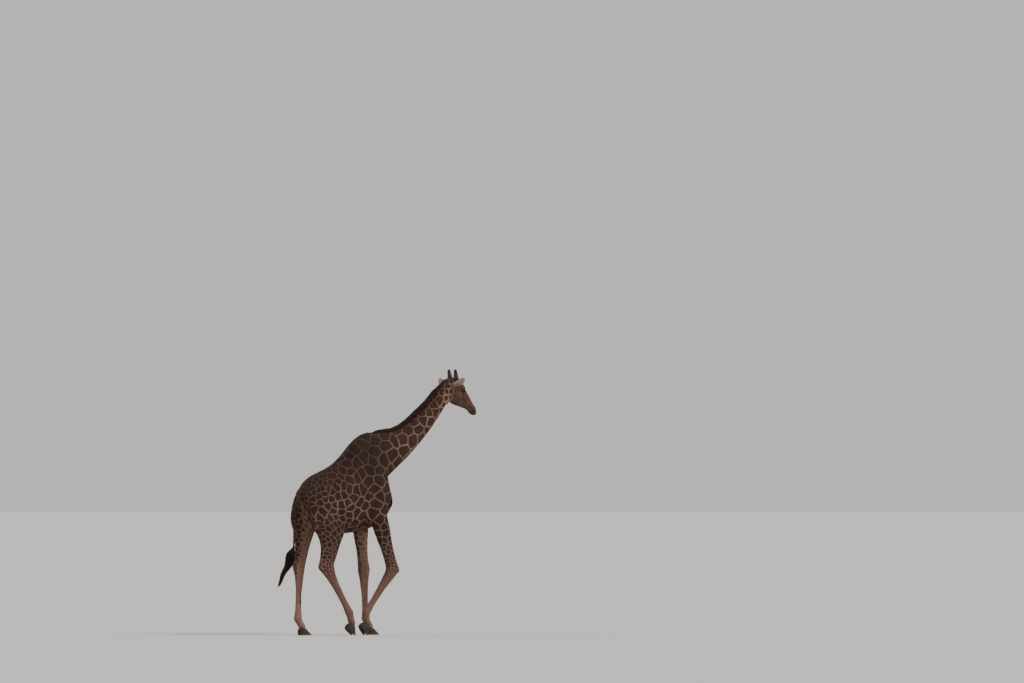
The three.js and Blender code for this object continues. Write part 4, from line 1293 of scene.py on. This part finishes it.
def smooth_solid(node, cuts, rounds, swell):
    """A copy of a solid with finer faces and its flats smoothed out."""
    bm = closed_copy(node, 0.0)
    bmesh.ops.join_triangles(bm, faces=bm.faces, angle_face_threshold=0.6, angle_shape_threshold=0.8)
    bmesh.ops.subdivide_edges(bm, edges=bm.edges[:], cuts=cuts, use_grid_fill=True)
    bmesh.ops.triangulate(bm, faces=[f for f in bm.faces if len(f.verts) > 4])
    for _ in range(rounds):
        bmesh.ops.smooth_vert(bm, verts=bm.verts, factor=0.5, use_axis_x=True, use_axis_y=True,
                              use_axis_z=True)
    return swollen(bm, swell)


def up_horn(side, points):
    """How far up the ossicone each point is, as a share of its length."""
    foot, way = horn_frame(side)
    return ((to_animal(points) - foot) @ way) / HORN_LENGTH


def make_horn(side, word, material):
    node = f"ossicone_{word}"
    mesh = mesh_of(smooth_solid(node, 3, 10, 0.0004), node)
    points = places_of(mesh)
    share = up_horn(side, points)
    animal = to_animal(points)
    wobble = np.sin(animal @ np.array([0.09, 0.11, 0.07])) * np.sin(animal @ np.array([-0.05, 0.08, 0.12]))
    move_to(mesh, points + normals_of(mesh) * (wobble * 0.9 * MM - 0.0012)[:, None])
    store(mesh, "rise", np.c_[share, share * 0, share * 0])
    finished(f"horn_{word}", mesh, [node], material)
    horn_hair(side, word, mesh, material)


def horn_hair(side, word, horn, material):
    """Short hair up the ossicone and a dark brush round its tip."""
    tris = triangles_of(horn)
    points, normals = places_of(horn), normals_of(horn)
    share = up_horn(side, points)
    middle_share = share[tris].mean(1)
    weight = areas_of(points, tris) * (middle_share > 0.2) * (1 + 2.5 * (middle_share > 0.72))
    count = 3600
    chosen, shares = drawn(weight, count)
    rows = tris[chosen]
    roots = (points[rows] * shares[..., None]).sum(1)
    out = unit((normals[rows] * shares[..., None]).sum(1))
    height = (share[rows] * shares).sum(1)
    up = ways_to_scene(horn_frame(side)[1][None])
    lie = unit(up - out * (out * up).sum(1, keepdims=True))
    rise = np.radians(rng.uniform(8, 22, count) + 4 * fade(height, 0.7, 0.9))[:, None]
    ways = unit(lie * np.cos(rise) + out * np.sin(rise) + rng.normal(0, 0.12, (count, 3)))
    lengths = rng.uniform(0.008, 0.012, count) * (1 - 0.35 * fade(height, 0.85, 1.0))
    rises = height[:, None] * np.array([[1.0, 0, 0]])
    mesh, size, faces = tuft_mesh(f"horn_hair_{word}", roots - out * 0.001, ways, np.cross(out, ways),
                                  lengths, lengths * 0.22, -out, np.full(count, 0.12), 2, {"rise": rises})
    x, y, _ = (roots - points.mean(0)).T
    turn = np.arctan2(x, y) / (2 * math.pi) + 0.5
    give_map(mesh, size, faces, np.c_[0.02 + 0.95 * turn, 0.02 + 0.9 * np.clip(height, 0, 1.02)])
    finished(f"horn_hair_{word}", mesh, [], material)


def make_hoof(leg, which, material):
    node = f"{leg}_hoof_{which}"
    bm = closed_copy(node, 0.0)
    bmesh.ops.dissolve_limit(bm, angle_limit=math.radians(3), verts=bm.verts, edges=bm.edges)
    crease = bm.edges.layers.float.new("crease_edge")
    bm.normal_update()
    for edge in bm.edges:
        if len(edge.link_faces) == 2 and edge.calc_face_angle() > math.radians(52):
            edge[crease] = 0.85
    made = modified(mesh_of(bm, node), "SUBSURF", levels=3, render_levels=3)
    points = places_of(made)
    low, high = (np.array(corner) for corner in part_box(node))
    points[:, 2] = np.maximum(points[:, 2], low[2])
    grow = np.minimum((high - low) / np.ptp(points, axis=0), 1.06)
    points = (high + low) / 2 + (points - (points.max(0) + points.min(0)) / 2) * grow
    points[:, 2] = np.where(points[:, 2] < low[2] + 0.0012, low[2], points[:, 2])
    move_to(made, points)
    store(made, "growth", np.c_[(points[:, 2] - low[2]) / (high - low)[2], points[:, :2]])
    finished(f"claw_{leg}_{which}", made, [node], material)


def make_eye(side, word, material):
    node, radius = f"eye_{word}", EYE_RADIUS * MM
    bm = bmesh.new()
    bmesh.ops.create_uvsphere(bm, u_segments=64, v_segments=40, radius=radius)
    mesh = mesh_of(bm, node)
    middle, gaze, fore, _ = eye_frame(side)
    out, fore = ways_to_scene(np.array([gaze, fore]))
    up = np.cross(out, fore)
    local = places_of(mesh)
    local = local * (1 + 0.035 * fade(local[:, 2] / radius, 0.66, 0.95))[:, None]
    move_to(mesh, to_scene(middle)[0] + local[:, :1] * fore + local[:, 1:2] * up + local[:, 2:3] * out)
    store(mesh, "gaze", local / radius)
    finished(f"eyeball_{word}", mesh, [node], material)


def lashes(side, word, material):
    """Long stiff lashes along the upper lid and short ones below."""
    middle, gaze, fore, up = eye_frame(side)
    over, under = 90, 40
    count = over + under
    x = np.r_[rng.uniform(-0.62, 0.74, over), rng.uniform(-0.5, 0.6, under)]
    upper = np.arange(count) < over
    half = lid_gap(x)
    y = np.where(upper, half - 0.03, -half - 0.07)
    z = np.sqrt(np.maximum(0.05, 1 - x**2 - y**2))
    way = x[:, None] * fore + y[:, None] * up + z[:, None] * gaze
    lean = gaze * 0.9 + fore * x[:, None] * 0.5 + up * np.where(upper, 0.15, -0.35)[:, None]
    ways = unit(lean + rng.normal(0, 0.07, (count, 3)))
    bows = np.where(upper[:, None], -up, up * 0.3)
    lengths = np.where(upper, rng.uniform(17, 24, count), rng.uniform(6, 10, count)) * MM
    roots, sides = middle + way * (EYE_RADIUS + 2.5), np.tile(fore, (count, 1))
    mesh, size, faces = tuft_mesh(f"lashes_{word}", to_scene(roots), ways_to_scene(ways),
                                  ways_to_scene(sides), lengths, np.full(count, 0.0013),
                                  ways_to_scene(bows), np.full(count, 0.45), 4)
    give_map(mesh, size, faces, np.c_[0.1 + 0.8 * (x + 1) / 2, 0.3 + 0.4 * upper])
    finished(f"lashes_{word}", mesh, [], material)


def make_mane(material):
    """Stiff upright hair along the crest of the neck."""
    count = 14000
    stations = crest_line.read(crest_line.length, [f for f, _ in CREST_LINE])
    start, end = np.interp([572, 1808], stations, crest_line.length)
    along = start + (end - start) * rng.random(count)
    forward = np.interp(along, crest_line.length, stations)
    place, way = crest_line.at(along), crest_line.way(along)
    left = leftward(turned(forward)[2])
    over = upward(np.cross(way, left))
    spread = rng.uniform(-1, 1, count)
    wide = np.interp(forward, [590, 800, 1700, 1812], [9, 21, 22, 12])
    tall = np.interp(forward, *MANE_HEIGHT)
    clumps = np.sin(along / 23.0) * 0.5 + np.sin(along / 9.7 + spread * 2) * 0.35 + np.sin(along / 61.0) * 0.8
    flat = np.interp(tall, [5, 30, 60], [1.8, 1.2, 1.0])
    tall = tall * (0.92 + 0.035 * clumps) * rng.uniform(0.86, 1.0, count) * (1 - 0.14 * spread**2) * flat
    spots = place + left * (spread * wide)[:, None]
    above = 60  # from where the skin is looked for
    hits = [skin_tree.ray_cast(Vector(spot), Vector(down))[3]
            for spot, down in zip(to_scene(spots + over * above), ways_to_scene(-over))]
    sunk = np.array([float(above) if far is None else far / MM for far in hits]) - above
    sunk = np.clip(sunk, -20, 45) + np.interp(tall, [5, 40], [1.5, 3])
    swept = np.interp(tall, [5, 30, 60], [1.6, 0.7, 0.2])[:, None]
    ways = unit(over - way * swept - left * (spread * 0.17)[:, None] + rng.normal(0, 0.075, (count, 3)))
    bows = -way * 0.8 - left * spread[:, None] * 0.4
    lengths = np.maximum(tall + sunk, 6) * MM * 0.985
    mesh, size, faces = tuft_mesh("mane_hair", to_scene(spots - over * sunk[:, None]), ways_to_scene(ways),
                                  ways_to_scene(way), lengths, rng.uniform(0.0026, 0.0042, count),
                                  ways_to_scene(bows), np.full(count, 0.05), 2)
    give_map(mesh, size, faces, np.c_[0.01 + 0.98 * (along - start) / (end - start), 0.5 + 0.4 * spread])
    finished("mane_hair", mesh, ["mane"], material)


def make_tail_tuft(material):
    """Long coarse strands from the end of the tail, swept back and narrowing to a switch."""
    points, radii = TUFT_LINE
    line = Line(points, 20)
    count, rings, locks = 1900, 12, 64
    lock = rng.integers(0, locks, count)
    lock_end, lock_turn = rng.uniform(0.5, 1.0, locks), rng.uniform(0, 2 * math.pi, locks)
    lock_off = np.sqrt(rng.random(locks)) * 0.9
    first = np.where(rng.random(count) < 0.6, rng.uniform(0, 0.12, count), rng.uniform(0, 0.45, count))
    last = np.clip(lock_end[lock] * rng.uniform(0.93, 1.03, count), first + 0.2, 0.995)
    turn = lock_turn[lock] + rng.normal(0, 0.75, count)
    off = np.clip(lock_off[lock] + rng.normal(0, 0.34, count), 0.03, 1.12)
    phase, swing = rng.uniform(0, 6.3, locks)[lock], rng.uniform(0.03, 0.16, count)
    path = []
    for t in np.arange(rings + 1) / rings:
        length = mix(first, last, t) * line.length[-1]
        way = line.way(length)
        gather = 0.8 * t**1.5
        reach = line.read(length, radii) * mix(off, lock_off[lock], gather) * fade(t, -0.12, 0.1)
        curl = mix(turn, lock_turn[lock], gather) + swing * 3 * np.sin(phase + 6 * t)
        path.append(to_scene(line.at(length) + LEFT * (reach * 0.68 * np.cos(curl))[:, None]
                             + unit(np.cross(way, LEFT)) * (reach * np.sin(curl))[:, None]))
    path = np.stack(path, 1)
    ways = unit(np.gradient(path, axis=1))
    across = unit(np.cross(ways, np.array([0.3, 1.0, 0.1])))
    over = np.cross(across, ways)
    widths = rng.uniform(0.0028, 0.0046, count)
    mesh, size, faces = lock_mesh("tail_hair", path, across[:, :-1], over[:, :-1], widths,
                                  lambda t: 1 - 0.7 * t**2, (-0.15, 0.3))
    give_map(mesh, size, faces, np.c_[0.02 + 0.95 * (turn / (2 * math.pi) % 1),
                                      0.05 + 0.85 * (first + last) / 2])
    finished("tail_hair", mesh, ["tail_tuft"], material)


# ---------------------------------------------------------------- build
skin_mesh = sculpted(stitched())
hide = Hide(skin_mesh)
gap, *tint = hide.tints
store(skin_mesh, "net", hide.net)
for k in range(4):
    store(skin_mesh, f"patch_{k}", hide.patches[:, k], "FACE")
store(skin_mesh, "line_width", gap)
store(skin_mesh, "tint", np.stack(tint, 1))
skin_tree = BVHTree.FromPolygons(hide.points.tolist(), hide.tris.tolist())
finished("skin", skin_mesh, FLESH + ["ear_left", "ear_right"], skin_finish())

coat = coat_finish()
p = hide.p
trunk = (1 - p.leg) * (1 - p.head) * (1 - p.ear)
neck = fade(p.along, station(640), station(800))
below = 1 + 1.6 * fade(p.turn, 2.3, 2.8) + 1.0 * mound(p.a, (860, 0, 1950), (160, 140, 300))
leg = p.leg * (1 + fade(p.leg_joint, 3.8, 3.95))
on_left = p.a[:, 1] > 0
eye_far = np.min([np.linalg.norm(p.a - eye_middle(side), axis=1) for side in (1, -1)], axis=0)
# Each coat piece: how many tufts, where, the slot, and how thick, how raised and how long they are.
for name, count, liking, slot, thick, lift, stretch in (
        ("coat_left", 42000, trunk * (1 - neck) * below * (p.side > 0), "coat", 1.0, (9, 7), 1.2),
        ("coat_right", 42000, trunk * (1 - neck) * below * (p.side <= 0), "coat", 1.0, (9, 7), 1.2),
        ("coat_neck", 38000, trunk * neck * below, "coat", 1.0, (9, 7), 1.1),
        ("coat_legs_left", 38000, leg * on_left, "leg_coat", 1.0, (9, 7), 1.15),
        ("coat_legs_right", 38000, leg * ~on_left, "leg_coat", 1.0, (9, 7), 1.15),
        ("coat_head", 42000, p.head * (1 - p.ear) * fade(eye_far, 31, 36), "coat", 0.85, (7, 5), 1.0),
        ("coat_ears", 14000, p.ear, "ear_coat", 0.75, (7, 5), 1.0)):
    hide.coat(name, count, liking, coat, slot, thick, lift, stretch)

horn = horn_finish()
lash = hair_finish("lash_hair", (0.006, 0.004, 0.004), (0.006, 0.004, 0.004), 0.45)
eye = eye_finish()
for side, word in ((1, "left"), (-1, "right")):
    make_horn(side, word, horn)
    make_eye(side, word, eye)
    lashes(side, word, lash)
hoof = hoof_finish()
for leg in LEGS:
    for which in ("inner", "outer"):
        make_hoof(leg, which, hoof)
make_mane(hair_finish("mane_hair_finish", (0.060, 0.022, 0.013), (0.085, 0.033, 0.019)))
make_tail_tuft(hair_finish("tail_hair_finish", (0.015, 0.0072, 0.005), (0.046, 0.019, 0.0115), 0.5))

# ---------------------------------------------------------------- floor, light and camera


def studio():
    bm = bmesh.new()
    bmesh.ops.create_grid(bm, x_segments=1, y_segments=1, size=4500)
    floor = put("floor", mesh_of(bm, "floor"))
    material, _, shader = new_finish("pale_floor", Roughness=0.9, Specular_Ior_Level=0.2)
    shader.inputs["Base Color"].default_value = (0.62, 0.60, 0.58, 1)
    floor.data.materials.append(material)
    world = bpy.data.worlds.new("studio")
    scene.world = world
    world.use_nodes = True
    background = world.node_tree.nodes["Background"]
    background.inputs[0].default_value = (0.86, 0.84, 0.83, 1)
    background.inputs[1].default_value = 0.75
    for name, place, power in (("key", (-9, -5, 9), 2.2), ("fill", (8, 6, 8), 0.7)):
        light = bpy.data.lights.new(name, "SUN")
        light.angle = math.radians(18)
        light.energy = power
        put(name, light).rotation_euler = Vector(place).to_track_quat("Z", "Y").to_euler()


def camera():
    """A long lens from the animal's right and a little behind, at a standing viewer's eye height."""
    azimuth, away, height = math.radians(240), 129.4, 1.80
    pitch, yaw = math.radians(1.06), math.radians(0.937)  # off the withers, as the view is framed
    withers = to_scene(np.array([[438, 0, 0]]))[0]
    data = bpy.data.cameras.new("view")
    data.lens = 318.3
    data.sensor_width = 36
    data.clip_start, data.clip_end = 1, 9000
    scene.camera = put("view", data)
    x, y, _ = withers + np.array([math.sin(azimuth), -math.cos(azimuth), 0]) * away
    scene.camera.location = (x, y, height)
    scene.camera.rotation_euler = (math.radians(90) + pitch, 0, azimuth - yaw)


studio()
camera()
